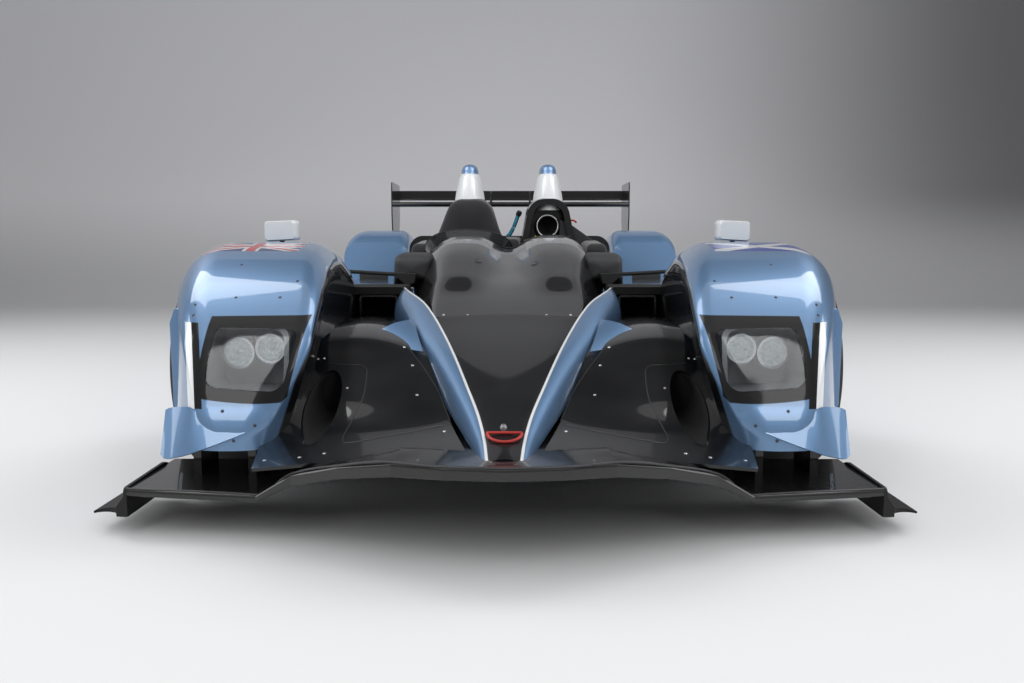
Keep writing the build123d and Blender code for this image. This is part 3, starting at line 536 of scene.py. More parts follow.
@dataclass(frozen=True)
class PodPaint(Finish):
    """Metallic blue with a flag on the crown, a black band round the lamps and a black inner flank.

    The slot beside the lamps is painted shade: a near-black strip where the skin has no opening, leaning
    along a line. Three edges of the band are lines, the low one is a parabola from the same three numbers,
    and the last cuts the low inner corner: a place, its height, a share and a gap.
    """

    side: int
    flag: Flag
    crown: Tuple[float, float] = (0.745, -1.440)
    flag_half: Tuple[float, float] = (0.140, 0.075)
    crosses: Tuple[Tuple[float, float, Colour], ...] = ((0.17, 0.30, WHITE), (0.10, 0.17, RED))
    slot_high: Tuple[float, float] = (0.300, 0.503)
    slot_wide: Point = (0.774, 0.792, 0.808)
    slot_lean: Point = (-1.87, 0.0, 0.36)
    slot_front: float = -1.60
    band_outer: Point = (0.33, 0.764, -0.100)
    band_inner: Point = (0.315, 0.540, -0.215)
    band_top: Point = (0.60, 0.520, -0.01)
    band_low: Point = (0.60, 0.312, 0.55)
    band_cut: Tuple[float, ...] = (0.535, 0.315, 0.7, 0.010)
    band_front: float = -1.69
    band_soft: float = 0.0012
    facing: Tuple[float, float] = (0.90, 0.92)

    def stripes(self, shader: Shader, u: Value, v: Value, ground: Value) -> Value:
        """Cover the ground colour with the flag.

        Args:
            shader: the shader being written.
            u: place across the flag, -1 to 1.
            v: place along the flag, -1 to 1.
            ground: paint under the flag.

        Returns:
            The colour with the flag.
        """
        u, v = u.magnitude(), v.magnitude()
        slant = (u - v).magnitude()
        if self.flag is Flag.SALTIRE:
            pattern = shader.colour(slant < 0.26, times(NAVY, 2.2), WHITE)
        else:
            pattern = shader.colour(slant < 0.26, NAVY, WHITE)
            pattern = shader.colour(slant < 0.10, pattern, RED)
            for wide, high, colour in self.crosses:
                pattern = shader.colour((u < wide).math("MAXIMUM", v < high), pattern, colour)
        return shader.colour((u < 1.0) * (v < 1.0), ground, pattern)

    def surface(self, shader: Shader) -> Value:
        """Write the surface."""
        flakes, colour = metallic(shader)
        x, y, z = shader.xyz()
        x = x * float(self.side)
        across = (x - self.crown[0]) / self.flag_half[0]
        along = (y - self.crown[1]) / self.flag_half[1]
        fade = shader.noise(60, 3)
        colour = self.stripes(shader, across + (fade - 0.5) * 0.03, along, colour)
        band = self.lamp_band(x, y, z)
        slot, edge = self.slot_shade_and_edge(x, y, z)
        inner = self.inner_flank(shader)
        colour = shader.colour(band, colour, BLACK)
        # Painted shade: near-black grey(0.004) in the slot stands for the dark inside a slot that the skin
        # does not have; white goes on its edge.
        colour = shader.colour(edge, shader.colour(slot, colour, grey(0.004)), WHITE)
        colour = shader.colour(inner, colour, BLACK)
        metal = METAL * (1 - band) * (1 - edge) * (1 - inner)
        return lacquer(shader, colour, metal, 0.30 + 0.1 * flakes, 0.92 - 0.62 * band)

    def inner_flank(self, shader: Shader) -> Value:
        """Mask of the gloss black flank: where the skin faces the car's middle.

        Args:
            shader: the shader being written.

        Returns:
            One on the inner flank.
        """
        normal = shader.add("ShaderNodeNewGeometry", out="Normal")
        inwards = shader.add("ShaderNodeSeparateXYZ", values=(normal,)) * float(-self.side)
        return inwards.smooth(*self.facing)

    def slot_shade_and_edge(self, x: Value, y: Value, z: Value) -> Tuple[Value, Value]:
        """Masks of the painted slot shade beside the lamp, a near-black strip where the skin has no opening,
        and of its pale outer edge.

        Args:
            x: place outwards from the middle.
            y: place along the car.
            z: height.

        Returns:
            The painted slot shade's mask and the edge's mask.
        """
        low, high = self.slot_high
        start, seam, end = self.slot_wide
        face = (z > low) * (z < high) * (y < self.slot_front)
        place = x - sloped(y, self.slot_lean)
        return face * (place > start) * (place < seam), face * (place > seam) * (place < end)

    def lamp_band(self, x: Value, y: Value, z: Value) -> Value:
        """Mask of the black band: inside five edges on the pod's face.

        Args:
            x: place outwards from the middle.
            y: place along the car.
            z: height.

        Returns:
            One inside the band's outer edge.
        """
        start, level, rise = self.band_low
        cut_x, cut_z, share, gap = self.band_cut
        insides = (
            sloped(z, self.band_outer) - x,
            x - sloped(z, self.band_inner),
            sloped(x, self.band_top) - z,
            z - ((x - start) * (x - start) * rise + level),
            ((x - cut_x) + (z - cut_z)) * share - gap,
        )
        mask = y < self.band_front
        for inside in insides:
            mask = mask * inside.smooth(-self.band_soft, self.band_soft)
        return mask


@dataclass(frozen=True)
class FlankPaint(Finish):
    """Metallic blue on the car's flank and above a level, gloss black further in."""

    name: str = "flank_blue"
    edge: float = 0.900
    level: float = 9.0

    def surface(self, shader: Shader) -> Value:
        """Write the surface."""
        flakes = shader.noise(FLAKES, 1)
        x, _, z = shader.xyz()
        flank = x.magnitude().smooth(self.edge - 0.001, self.edge + 0.001)
        flank = flank.math("MAXIMUM", z > self.level)
        colour = shader.colour(flank, BLACK, BLUE)
        return lacquer(shader, colour, METAL * flank, 0.26 + 0.12 * flakes)


@dataclass(frozen=True)
class SmokedScreen(Finish):
    """Smoke-tinted screen: half see-through, with a dark body and a hard sheen."""

    name: str = "smoked_screen"

    def surface(self, shader: Shader) -> Value:
        """Write the surface."""
        haze = shader.noise(24, 4)
        body = shader.principled(
            Base_Color=grey(0.035), Roughness=0.06 + 0.08 * haze, Coat_Weight=0.9 + 0.1 * haze,
            Normal=shader.bump(haze, 0.04, 0.001))
        see = shader.add("ShaderNodeBsdfTransparent", values=((0.62, 0.66, 0.70, 1.0),))
        facing = shader.add("ShaderNodeLayerWeight", values=(0.3,), out="Facing")
        return shader.add("ShaderNodeMixShader", values=(facing * 0.5 + 0.38, see, body))


@dataclass(frozen=True)
class BlackPaint(Finish):
    """Gloss black lacquer with a trace of blue and soft dust."""

    name: str = "gloss_black"
    rough: float = 0.22

    def surface(self, shader: Shader) -> Value:
        """Write the surface."""
        cloud = shader.noise(5, 4)
        lifted = times(BLACK, 2.6)
        colour = shader.colour(cloud.smooth(0.35, 0.8) * 0.6, BLACK, lifted)
        return lacquer(shader, colour, 0.0, self.rough + 0.12 * cloud, 0.74)


@dataclass(frozen=True)
class HoodPaint(Finish):
    """Gloss black with pale grey streaked bands on the rear ends of the two bubbles: a painted reflection,
    the sheen that the bubbles mirror.
    """

    name: str = "hood_black"
    centres: Tuple[float, float] = (-0.178, 0.184)
    half: float = 0.112
    start: float = -0.520

    def surface(self, shader: Shader) -> Value:
        """Write the surface."""
        x, y, _ = shader.xyz()
        cloud = shader.noise(5, 4)
        streaks = shader.noise(30, 2, (4.0, 0.3, 0.3))
        near = (x - self.centres[0]).magnitude().math("MINIMUM", (x - self.centres[1]).magnitude())
        start = self.start + near * near * 2.6
        # Painted reflection: the band where pale grey streaks stand in for the sheen on each bubble's rear
        # end.
        band = near.smooth(self.half + 0.004, self.half - 0.004) * (y - start).smooth(-0.004, 0.004)
        colour = shader.colour(cloud * 0.4, BLACK, grey(0.012))
        colour = shader.colour(band, colour, shader.colour(streaks, grey(0.06), grey(0.22)))
        return lacquer(shader, colour, 0.0, 0.24 + 0.10 * cloud)


@dataclass(frozen=True)
class HoopPaint(Finish):
    """White lacquer with a metallic blue cap above a level."""

    name: str = "hoop_white"
    level: float = 1.053

    def surface(self, shader: Shader) -> Value:
        """Write the surface."""
        _, _, z = shader.xyz()
        cap = z.smooth(self.level - 0.001, self.level + 0.001)
        stain, white = stained(shader)
        return lacquer(shader, shader.colour(cap, white, BLUE), METAL * cap, 0.3 + 0.1 * stain)


@dataclass(frozen=True)
class WhitePaint(Finish):
    """Plain white lacquer, lightly stained."""

    name: str = "plain_white"

    def surface(self, shader: Shader) -> Value:
        """Write the surface."""
        stain, white = stained(shader)
        return lacquer(shader, white, 0.0, 0.3 + 0.1 * stain)


@dataclass(frozen=True)
class CarbonWeave(Finish):
    """Twill carbon cloth under lacquer, or matt where the coat is thin."""

    tow: float = 0.004
    coat: float = 1.0
    rough: float = 0.3
    level: float = 0.011

    def surface(self, shader: Shader) -> Value:
        """Write the surface."""
        x, y, z = shader.xyz()
        warp = (x + y * 0.35) / self.tow
        weft = (y * 0.9 + z) / self.tow
        step = ((warp.math("FLOOR") + weft.math("FLOOR") * 2.0) / 4.0).fraction()
        over = step < 0.49
        ridge = shader.colour(over, grey(0.0), grey(1.0))
        crown_warp = (warp.fraction() - 0.5).magnitude()
        crown_weft = (weft.fraction() - 0.5).magnitude()
        crown = over * (crown_warp - crown_weft) + crown_weft
        dust = shader.noise(12, 4)
        dark = shader.colour(ridge, grey(self.level * 0.45), grey(self.level * 1.35))
        colour = shader.colour(dust * 0.35, dark, grey(self.level * 1.8))
        return shader.principled(
            Base_Color=colour, Metallic=0.0, Roughness=self.rough + 0.15 * over + 0.08 * dust,
            Normal=shader.bump(1 - crown * 2.0, 0.12, 0.0004), Coat_Weight=self.coat * (0.9 + 0.1 * dust),
            Specular_IOR_Level=0.2, Coat_Roughness=0.05)


@dataclass(frozen=True)
class BareMetal(Finish):
    """Machined or cast metal with fine streaks."""

    colour: Colour
    rough: float = 0.3
    metal: float = 1.0
    streak: Point = (1.0, 1.0, 1.0)

    def surface(self, shader: Shader) -> Value:
        """Write the surface."""
        streaks = shader.noise(260, 3, self.streak)
        stain = shader.noise(14, 4)
        dark = times(self.colour, 0.6)
        colour = shader.colour(stain * 0.6 + streaks * 0.3, self.colour, dark)
        return shader.principled(
            Base_Color=colour, Metallic=self.metal, Roughness=self.rough + 0.18 * streaks + 0.1 * stain,
            Normal=shader.bump(streaks, 0.08, 0.0005))


@dataclass(frozen=True)
class SlickRubber(Finish):
    """Scuffed slick tyre rubber: matt, with grain round the tread and a dusty shoulder."""

    name: str = "slick_rubber"

    def surface(self, shader: Shader) -> Value:
        """Write the surface."""
        grain = shader.noise(190, 5, (3.0, 1.0, 1.0))
        dust = shader.noise(16, 4)
        colour = shader.colour(dust.smooth(0.45, 0.85) * 0.5, grey(0.012), grey(0.045))
        return shader.principled(
            Base_Color=colour, Roughness=0.62 + 0.2 * grain, Normal=shader.bump(grain, 0.35, 0.0012))


@dataclass(frozen=True)
class ClearCover(Finish):
    """Clear hard-coated plastic: mostly see-through, with a mirror sheen that grows at grazing angles."""

    name: str = "clear_cover"
    base: float = 0.012

    def surface(self, shader: Shader) -> Value:
        """Write the surface."""
        haze = shader.noise(30, 4)
        gloss = shader.principled(
            Base_Color=grey(0.55), Metallic=1.0, Roughness=0.03 + 0.05 * haze,
            Normal=shader.bump(haze, 0.05, 0.001))
        see = shader.add("ShaderNodeBsdfTransparent", values=((0.93, 0.95, 0.96, 1.0),))
        facing = shader.add("ShaderNodeLayerWeight", values=(0.28,), out="Facing")
        factor = facing * 0.26 + self.base + 0.01 * haze
        return shader.add("ShaderNodeMixShader", values=(factor, see, gloss))


@dataclass(frozen=True)
class Reflector(Finish):
    """Faceted lamp reflector whose brightness is painted light: a near-white, partly metallic base and a
    faint glow by facet stand in for the reflections in its mirror bowl.
    """

    name: str = "lamp_reflector"

    def surface(self, shader: Shader) -> Value:
        """Write the surface."""
        facets = shader.add("ShaderNodeTexVoronoi", values={"Vector": shader.place(), "Scale": 95.0},
                            out="Distance")
        # Painted reflection: the near-white base and the faint glow by facet stand in for what a mirror bowl
        # reflects.
        return shader.principled(
            Base_Color=(0.90, 0.91, 0.92, 1.0), Metallic=0.35, Roughness=0.10 + 0.2 * facets,
            Normal=shader.bump(facets, 1.0, 0.012), Emission_Strength=0.10,
            Emission_Color=shader.colour(facets, grey(1.0), grey(0.25)))


@dataclass(frozen=True)
class RedLens(Finish):
    """Red moulded lens."""

    name: str = "red_lens"
    colour: Colour = (0.55, 0.012, 0.010, 1.0)

    def surface(self, shader: Shader) -> Value:
        """Write the surface."""
        cells = shader.noise(300, 1)
        return shader.principled(
            Base_Color=shader.colour(cells * 0.4, self.colour, (0.2, 0.004, 0.004, 1.0)),
            Roughness=0.12 + 0.1 * cells, Coat_Weight=0.8 + 0.2 * cells,
            Normal=shader.bump(cells, 0.3, 0.001))


@dataclass(frozen=True)
class Suede(Finish):
    """Dark knitted or brushed cloth of the pads."""

    name: str = "dark_suede"
    colour: Colour = (0.012, 0.012, 0.014, 1.0)

    def surface(self, shader: Shader) -> Value:
        """Write the surface."""
        nap = shader.noise(900, 3)
        patch = shader.noise(18, 4)
        lifted = times(self.colour, 2.4)
        colour = shader.colour(nap * 0.5 + patch * 0.4, self.colour, lifted)
        return shader.principled(
            Base_Color=colour, Roughness=0.82 + 0.12 * nap, Normal=shader.bump(nap, 0.5, 0.0009),
            Sheen_Weight=0.35, Sheen_Roughness=0.4)


@dataclass(frozen=True)
class SkidWood(Finish):
    """Laminated wood of the skid block, scraped lengthways."""

    name: str = "skid_wood"

    def surface(self, shader: Shader) -> Value:
        """Write the surface."""
        rings = shader.noise(40, 5, (6.0, 0.4, 6.0))
        colour = shader.colour(rings, (0.20, 0.11, 0.05, 1.0), (0.09, 0.045, 0.02, 1.0))
        return shader.principled(
            Base_Color=colour, Roughness=0.6 + 0.2 * rings, Normal=shader.bump(rings, 0.3, 0.001))


@dataclass(frozen=True)
class WireMesh(Finish):
    """Black woven mesh behind a vent: a fine diagonal grid of wires over painted shade, a near-black ground
    for the hollow behind them.
    """

    name: str = "vent_mesh"
    pitch: float = 0.007

    def surface(self, shader: Shader) -> Value:
        """Write the surface."""
        x, y, z = shader.xyz()
        one = ((x + z + y * 0.5) / self.pitch).fraction()
        two = ((x - z - y * 0.5) / self.pitch).fraction()
        wire = (one < 0.35).math("MAXIMUM", two < 0.35)
        # Painted shade: grey(0.002) between the wires stands for the dark hollow behind the mesh.
        return shader.principled(
            Base_Color=shader.colour(wire, grey(0.002), grey(0.09)), Metallic=0.6 * wire,
            Roughness=0.9 - 0.5 * wire, Normal=shader.bump(wire, 0.6, 0.001))


@dataclass(frozen=True)
class Backdrop(Finish):
    """Matt pale floor that darkens into the distance and up the wall towards its right side; these tones are
    painted light, for how the studio's light falls on one sheet of one colour.
    """

    name: str = "backdrop"

    def surface(self, shader: Shader) -> Value:
        """Write the surface."""
        x, y, z = shader.xyz()
        # Painted light: the floor darkens away from the camera, the wall is lighter, and it darkens towards
        # its right, where less light falls.
        wall, far, right = z.smooth(0.0, 1.5), y.smooth(-1.5, 6.0), x.smooth(1.0, 7.5)
        colour = shader.colour(far, (0.720, 0.725, 0.735, 1.0), (0.52, 0.523, 0.54, 1.0))
        colour = shader.colour(wall, colour, (0.80, 0.80, 0.83, 1.0))
        colour = shader.colour(right * wall * 0.92, colour, (0.17, 0.17, 0.18, 1.0))
        return shader.principled(Base_Color=colour, Roughness=0.75 + 0.1 * shader.noise(3, 3))


class Coat(Enum):
    """Finishes that more than one piece wears."""

    BLUE = BluePaint()
    BLACK = BlackPaint()
    WHITE = WhitePaint()
    HOOP = HoopPaint()
    CARBON = CarbonWeave("gloss_carbon", level=0.006)
    DULL_CARBON = CarbonWeave("dull_carbon", coat=0.25, rough=0.5, level=0.012)
    RUBBER = SlickRubber()
    ALLOY = BareMetal("wheel_alloy", (0.06, 0.062, 0.066, 1.0), 0.3, 0.9)
    STEEL = BareMetal("arm_steel", (0.10, 0.10, 0.105, 1.0), 0.35, 0.9)
    CAST = BareMetal("cast_alloy", (0.28, 0.28, 0.29, 1.0), 0.42, 0.9)
    BRIGHT = BareMetal("bright_steel", (0.72, 0.72, 0.74, 1.0), 0.16, 1.0)
    CLEAR = ClearCover()
    REFLECTOR = Reflector()
    RED = RedLens()
    SUEDE = Suede()
    WOOD = SkidWood()
    MESH = WireMesh()
    DARK = BareMetal("dark_plastic", (0.010, 0.010, 0.011, 1.0), 0.5, 0.0)
    FLANK = FlankPaint()
    HOOD = HoodPaint()
    LOBE = BareMetal("satin_black", (0.030, 0.031, 0.034, 1.0), 0.5, 0.0)
    WELL = BareMetal("duct_black", (0.002, 0.002, 0.002, 1.0), 0.75, 0.0)
    REAR = FlankPaint("rear_pod_blue", 0.970, 0.438)
    SMOKE = SmokedScreen()
    PULL = BareMetal("red_pull", (0.55, 0.03, 0.02, 1.0), 0.35, 0.0)
    TRAY = BareMetal("lamp_tray", (0.40, 0.40, 0.405, 1.0), 0.45, 0.0)
    YELLOW = BareMetal("yellow_tag", (0.70, 0.55, 0.03, 1.0), 0.45, 0.0)
    TEAL = BareMetal("teal_fitting", (0.02, 0.22, 0.34, 1.0), 0.25, 0.6)


@lru_cache(maxsize=None)
def material_of(coat: Coat) -> bpy.types.Material:
    """The material of a coat, written the first time that a piece wears it."""
    return coat.value.build()


# Pieces


def mesh_object(name: str, points: np.ndarray, faces: Sequence[Sequence[int]]) -> bpy.types.Object:
    """A new object with one mesh.

    Args:
        name: the object's name.
        points: its vertices.
        faces: vertex numbers of each face.

    Returns:
        The object, linked to the scene.
    """
    mesh = bpy.data.meshes.new(name)
    mesh.from_pydata(np.asarray(points, dtype=float).reshape(-1, 3), [], faces)
    mesh.validate()
    piece = bpy.data.objects.new(name, mesh)
    bpy.context.scene.collection.objects.link(piece)
    return piece


def turn_out(piece: bpy.types.Object, merge: float = 1e-6) -> None:
    """Merge doubles, then point all faces of a closed mesh outwards.

    Args:
        piece: the object.
        merge: vertices nearer than this are one.
    """
    work = bmesh.new()
    work.from_mesh(piece.data)
    bmesh.ops.remove_doubles(work, verts=work.verts, dist=merge)
    bmesh.ops.dissolve_degenerate(work, edges=work.edges, dist=merge)
    bmesh.ops.recalc_face_normals(work, faces=work.faces)
    work.to_mesh(piece.data)
    work.free()


def bake(piece: bpy.types.Object) -> None:
    """Apply all modifiers of a piece."""
    graph = bpy.context.evaluated_depsgraph_get()
    mesh = bpy.data.meshes.new_from_object(piece.evaluated_get(graph), depsgraph=graph)
    old = piece.data
    piece.modifiers.clear()
    piece.data = mesh
    bpy.data.meshes.remove(old)


def carve(piece: bpy.types.Object, tools: Iterable[bpy.types.Object], keep: bool = False) -> None:
    """Cut tools out of a piece, or keep only what lies inside them.

    Args:
        piece: the closed mesh to cut.
        tools: closed meshes, which are removed afterwards.
        keep: whether the inside is what stays.
    """
    tools = list(tools)
    for tool in tools:
        cut = piece.modifiers.new("cut", "BOOLEAN")
        cut.operation = "INTERSECT" if keep else "DIFFERENCE"
        cut.solver = "EXACT"
        cut.object = tool
    bake(piece)
    for tool in tools:
        bpy.data.objects.remove(tool)


def thicken(piece: bpy.types.Object, wall: float, side: float = -1.0) -> None:
    """Give a skin its wall and apply it.

    Args:
        piece: the open mesh.
        wall: its thickness.
        side: -1 puts the wall behind the faces, 1 in front.
    """
    solid = piece.modifiers.new("wall", "SOLIDIFY")
    solid.thickness = wall
    solid.offset = side
    solid.use_even_offset = True
    bake(piece)


def shade(piece: bpy.types.Object, angle: float = 32.0) -> None:
    """Smooth shading that breaks where faces meet at more than an angle in degrees."""
    piece.data.polygons.foreach_set("use_smooth", np.ones(len(piece.data.polygons), dtype=bool))
    piece.data.set_sharp_from_angle(angle=math.radians(angle))


def wear(piece: bpy.types.Object, coat: object) -> None:
    """Give a piece its material.

    Args:
        piece: the object.
        coat: a Coat, or a material.
    """
    material = material_of(coat) if isinstance(coat, Coat) else coat
    if piece.material_slots:
        for slot in piece.material_slots:
            slot.material = material
    else:
        piece.data.materials.append(material)


def settle(piece: bpy.types.Object, coat: object, body: str = "chassis",
           nodes: Sequence[str] = (), bevel: float = 0.0) -> bpy.types.Object:
    """Finish a piece: material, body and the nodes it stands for.

    Args:
        piece: the object.
        coat: its finish.
        body: the CAD body it rides on.
        nodes: CAD nodes that it replaces.
        bevel: width of a bevel on its sharp edges, or none.

    Returns:
        The piece.
    """
    wear(piece, coat)
    if bevel:
        soften(piece, bevel)
    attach(piece, body)
    if nodes:
        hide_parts(*nodes)
    LOG.info("piece %s: %d faces, on %s", piece.name, len(piece.data.polygons), body)
    return piece


def soften(piece: bpy.types.Object, width: float) -> None:
    """Bevel the sharp edges of a piece."""
    edge = piece.modifiers.new("edge", "BEVEL")
    edge.width = width
    edge.segments = 2
    edge.limit_method = "ANGLE"
    edge.angle_limit = math.radians(40)
    edge.harden_normals = False


def closed(name: str, rings: np.ndarray) -> bpy.types.Object:
    """A closed body through rings of points, with a flat cap at both ends.

    Args:
        name: the object's name.
        rings: rings by points by three.

    Returns:
        The body.
    """
    rows, count = rings.shape[:2]
    faces = quads(rows, count, round_columns=True).tolist()
    faces += [list(range(count)), [rows * count - 1 - index for index in range(count)]]
    piece = mesh_object(name, rings, faces)
    turn_out(piece)
    return piece


def sheet(name: str, grid: np.ndarray, wall: float, angle: Optional[float] = None, side: float = 0.0,
          flip: bool = False, merge: float = 1e-6) -> bpy.types.Object:
    """A skin through a grid of points, with a wall.

    Args:
        name: the object's name.
        grid: rows by columns by three.
        wall: its thickness.
        angle: faces that meet at more than this angle show an edge; none leaves the skin unshaded.
        side: where the wall lies: -1 behind the faces, 1 in front, 0 on both sides.
        flip: whether the faces look the other way.
        merge: vertices of the result nearer than this are one.

    Returns:
        The skin.
    """
    faces = quads(*grid.shape[:2])
    piece = mesh_object(name, grid, (faces[:, ::-1] if flip else faces).tolist())
    thicken(piece, wall, side)
    turn_out(piece, merge)
    if angle is not None:
        shade(piece, angle)
    return piece


def prism(name: str, section: np.ndarray, axis: int, low: float, high: float) -> bpy.types.Object:
    """A closed prism: an outline in a plane, carried along the third axis.

    Args:
        name: the object's name.
        section: outline points by two, in the plane's two axes, in X, Y, Z order.
        axis: 0, 1 or 2, the axis it is carried along.
        low: where it starts.
        high: where it ends.

    Returns:
        The prism.
    """
    points = np.zeros((2, len(section), 3))
    points[:, :, [each for each in range(3) if each != axis]] = section[None]
    points[:, :, axis] = [[low], [high]]
    return closed(name, points)


def block(name: str, corners: Outline, radii: Sequence[float], ends: Tuple[float, float],
          side: int = 1) -> bpy.types.Object:
    """A prism along the car, with rounded corners.

    Args:
        name: the object's name.
        corners: its outline in X and Z, on the left side.
        radii: one radius for each corner, or one for all.
        ends: Y of its two ends.
        side: 1 leaves it on the left, -1 mirrors it to the right.

    Returns:
        The prism.
    """
    radii = tuple(radii) * (len(corners) // len(radii))
    return prism(name, outline(corners, radii) * [side, 1], 1, *ends)


def turned(name: str, profile: Sequence[Tuple[float, float]], centre: Sequence[float],
           axis: Sequence[float], steps: int = 40) -> bpy.types.Object:
    """A closed shape turned about an axis.

    Each profile point (radius, along) becomes a ring: centre plus along times the axis, plus radius times
    the cosine and sine of an even turn along two vectors square to the axis.

    Args:
        name: the object's name.
        profile: (radius, along) pairs, whose ends lie on the axis or join each other.
        centre: where along is zero.
        axis: direction of the axis.
        steps: points on each ring.

    Returns:
        The turned shape.
    """
    direction = np.array(axis, dtype=float)
    direction /= np.linalg.norm(direction)
    right, up = square_to(direction[None])
    turn = circle(steps)[:, None]
    ring = np.cos(turn) * right + np.sin(turn) * up
    rows = np.array(profile)
    points = np.array(centre) + rows[:, 1, None, None] * direction + rows[:, 0, None, None] * ring[None]
    joined = bool(np.allclose(rows[0], rows[-1]))
    if joined:
        points = points[:-1]
    faces = quads(len(points), steps, round_rows=joined, round_columns=True)
    piece = mesh_object(name, points, faces.tolist())
    turn_out(piece)
    return piece


def tube(name: str, path: np.ndarray, radius: float, steps: int = 12) -> bpy.types.Object:
    """A round bar along a path, with flat ends and a ring square to the tangent at each point.

    Args:
        name: the object's name.
        path: points by three.
        radius: the bar's radius.
        steps: points on each ring.

    Returns:
        The bar.
    """
    tangent = np.gradient(path, axis=0)
    tangent /= np.linalg.norm(tangent, axis=1, keepdims=True)
    right, up = square_to(tangent)
    turn = circle(steps)[None, :, None]
    return closed(name, path[:, None] + radius * (np.cos(turn) * right[:, None] + np.sin(turn) * up[:, None]))


def studs(name: str, places: np.ndarray, normals: np.ndarray, radius: float) -> bpy.types.Object:
    """Many small domed fasteners in one mesh.

    Each is the same low dome, whose rings shrink as the cosine and rise as the sine of a quarter turn, set
    square to its normal.

    Args:
        name: the object's name.
        places: points by three.
        normals: unit normals by three.
        radius: radius of a head.

    Returns:
        The fasteners.
    """
    steps, rings, flatness, root = 12, 4, 0.45, 0.3
    rise, turn = np.linspace(0, math.pi / 2, rings)[:, None], circle(steps)
    wide = np.cos(rise) * radius
    local = points_of(wide * np.cos(turn), wide * np.sin(turn), np.sin(rise) * radius * flatness)
    base = np.concatenate([local[:1] - [0, 0, radius * root], local], axis=0).reshape(-1, 3)
    right, up = square_to(normals)
    points = places[:, None, :] + np.einsum("kc,ncd->nkd", base, np.stack([right, -up, normals], axis=1))
    cell = quads(rings + 1, steps, round_columns=True)
    starts = np.arange(len(places))[:, None] * len(base)
    foot = np.arange(steps)[None, ::-1] + starts
    faces = (cell[None] + starts[..., None]).reshape(-1, 4).tolist() + foot.tolist()
    piece = mesh_object(name, points, faces)
    turn_out(piece, 1e-7)
    return piece


def on_surface(grid: np.ndarray, targets: np.ndarray, axes: Tuple[int, int]) -> Tuple[np.ndarray, np.ndarray]:
    """Grid points nearest to targets in two of the three axes, with their normals.

    Args:
        grid: rows by columns by three.
        targets: points by two, in the two axes.
        axes: which two axes.

    Returns:
        Points and unit normals.
    """
    flat = grid.reshape(-1, 3)
    normal = normals_of(grid).reshape(-1, 3)
    gap = ((flat[None][:, :, list(axes)] - targets[:, None, :]) ** 2).sum(axis=2)
    index = gap.argmin(axis=1)
    return flat[index], normal[index]


def mirrored(grid: np.ndarray, side: int) -> np.ndarray:
    """The grid on one side of the car: as it is for 1, and with X turned round for -1."""
    return grid * np.array([side, 1.0, 1.0])


def join(name: str, pieces: Sequence[bpy.types.Object]) -> bpy.types.Object:
    """Several meshes as one object, with their own materials kept.

    Args:
        name: name of the result.
        pieces: the meshes, which are removed.

    Returns:
        The joined object.
    """
    work = bmesh.new()
    for piece in pieces:
        work.from_mesh(piece.data)
        bpy.data.objects.remove(piece)
    mesh = bpy.data.meshes.new(name)
    work.to_mesh(mesh)
    work.free()
    joined = bpy.data.objects.new(name, mesh)
    bpy.context.scene.collection.objects.link(joined)
    return joined


def nested(levels: Sequence[Tuple[np.ndarray, float]], side: int) -> np.ndarray:
    """Rings of a hollow body from pairs of a left-hand outline in X and Z and its Y; -1 mirrors them."""
    return np.array([points_of(side * ring[:, 0], y, ring[:, 1]) for ring, y in levels])


def fasten(name: str, grid: np.ndarray, spots: np.ndarray, axes: Tuple[int, int], radius: float,
           coat: Coat) -> None:
    """Fasteners on the upper side of a surface, at places in two of its axes."""
    places, normals = on_surface(grid, spots, axes)
    settle(studs(name, places, normals * np.sign(normals[:, 2:3]), radius), coat)


def left_only(side: int, node: str) -> Tuple[str, ...]:
    """The node for the left piece of a pair and none for the right, because it is replaced once."""
    return (node,) if side > 0 else ()


# Sub-assemblies


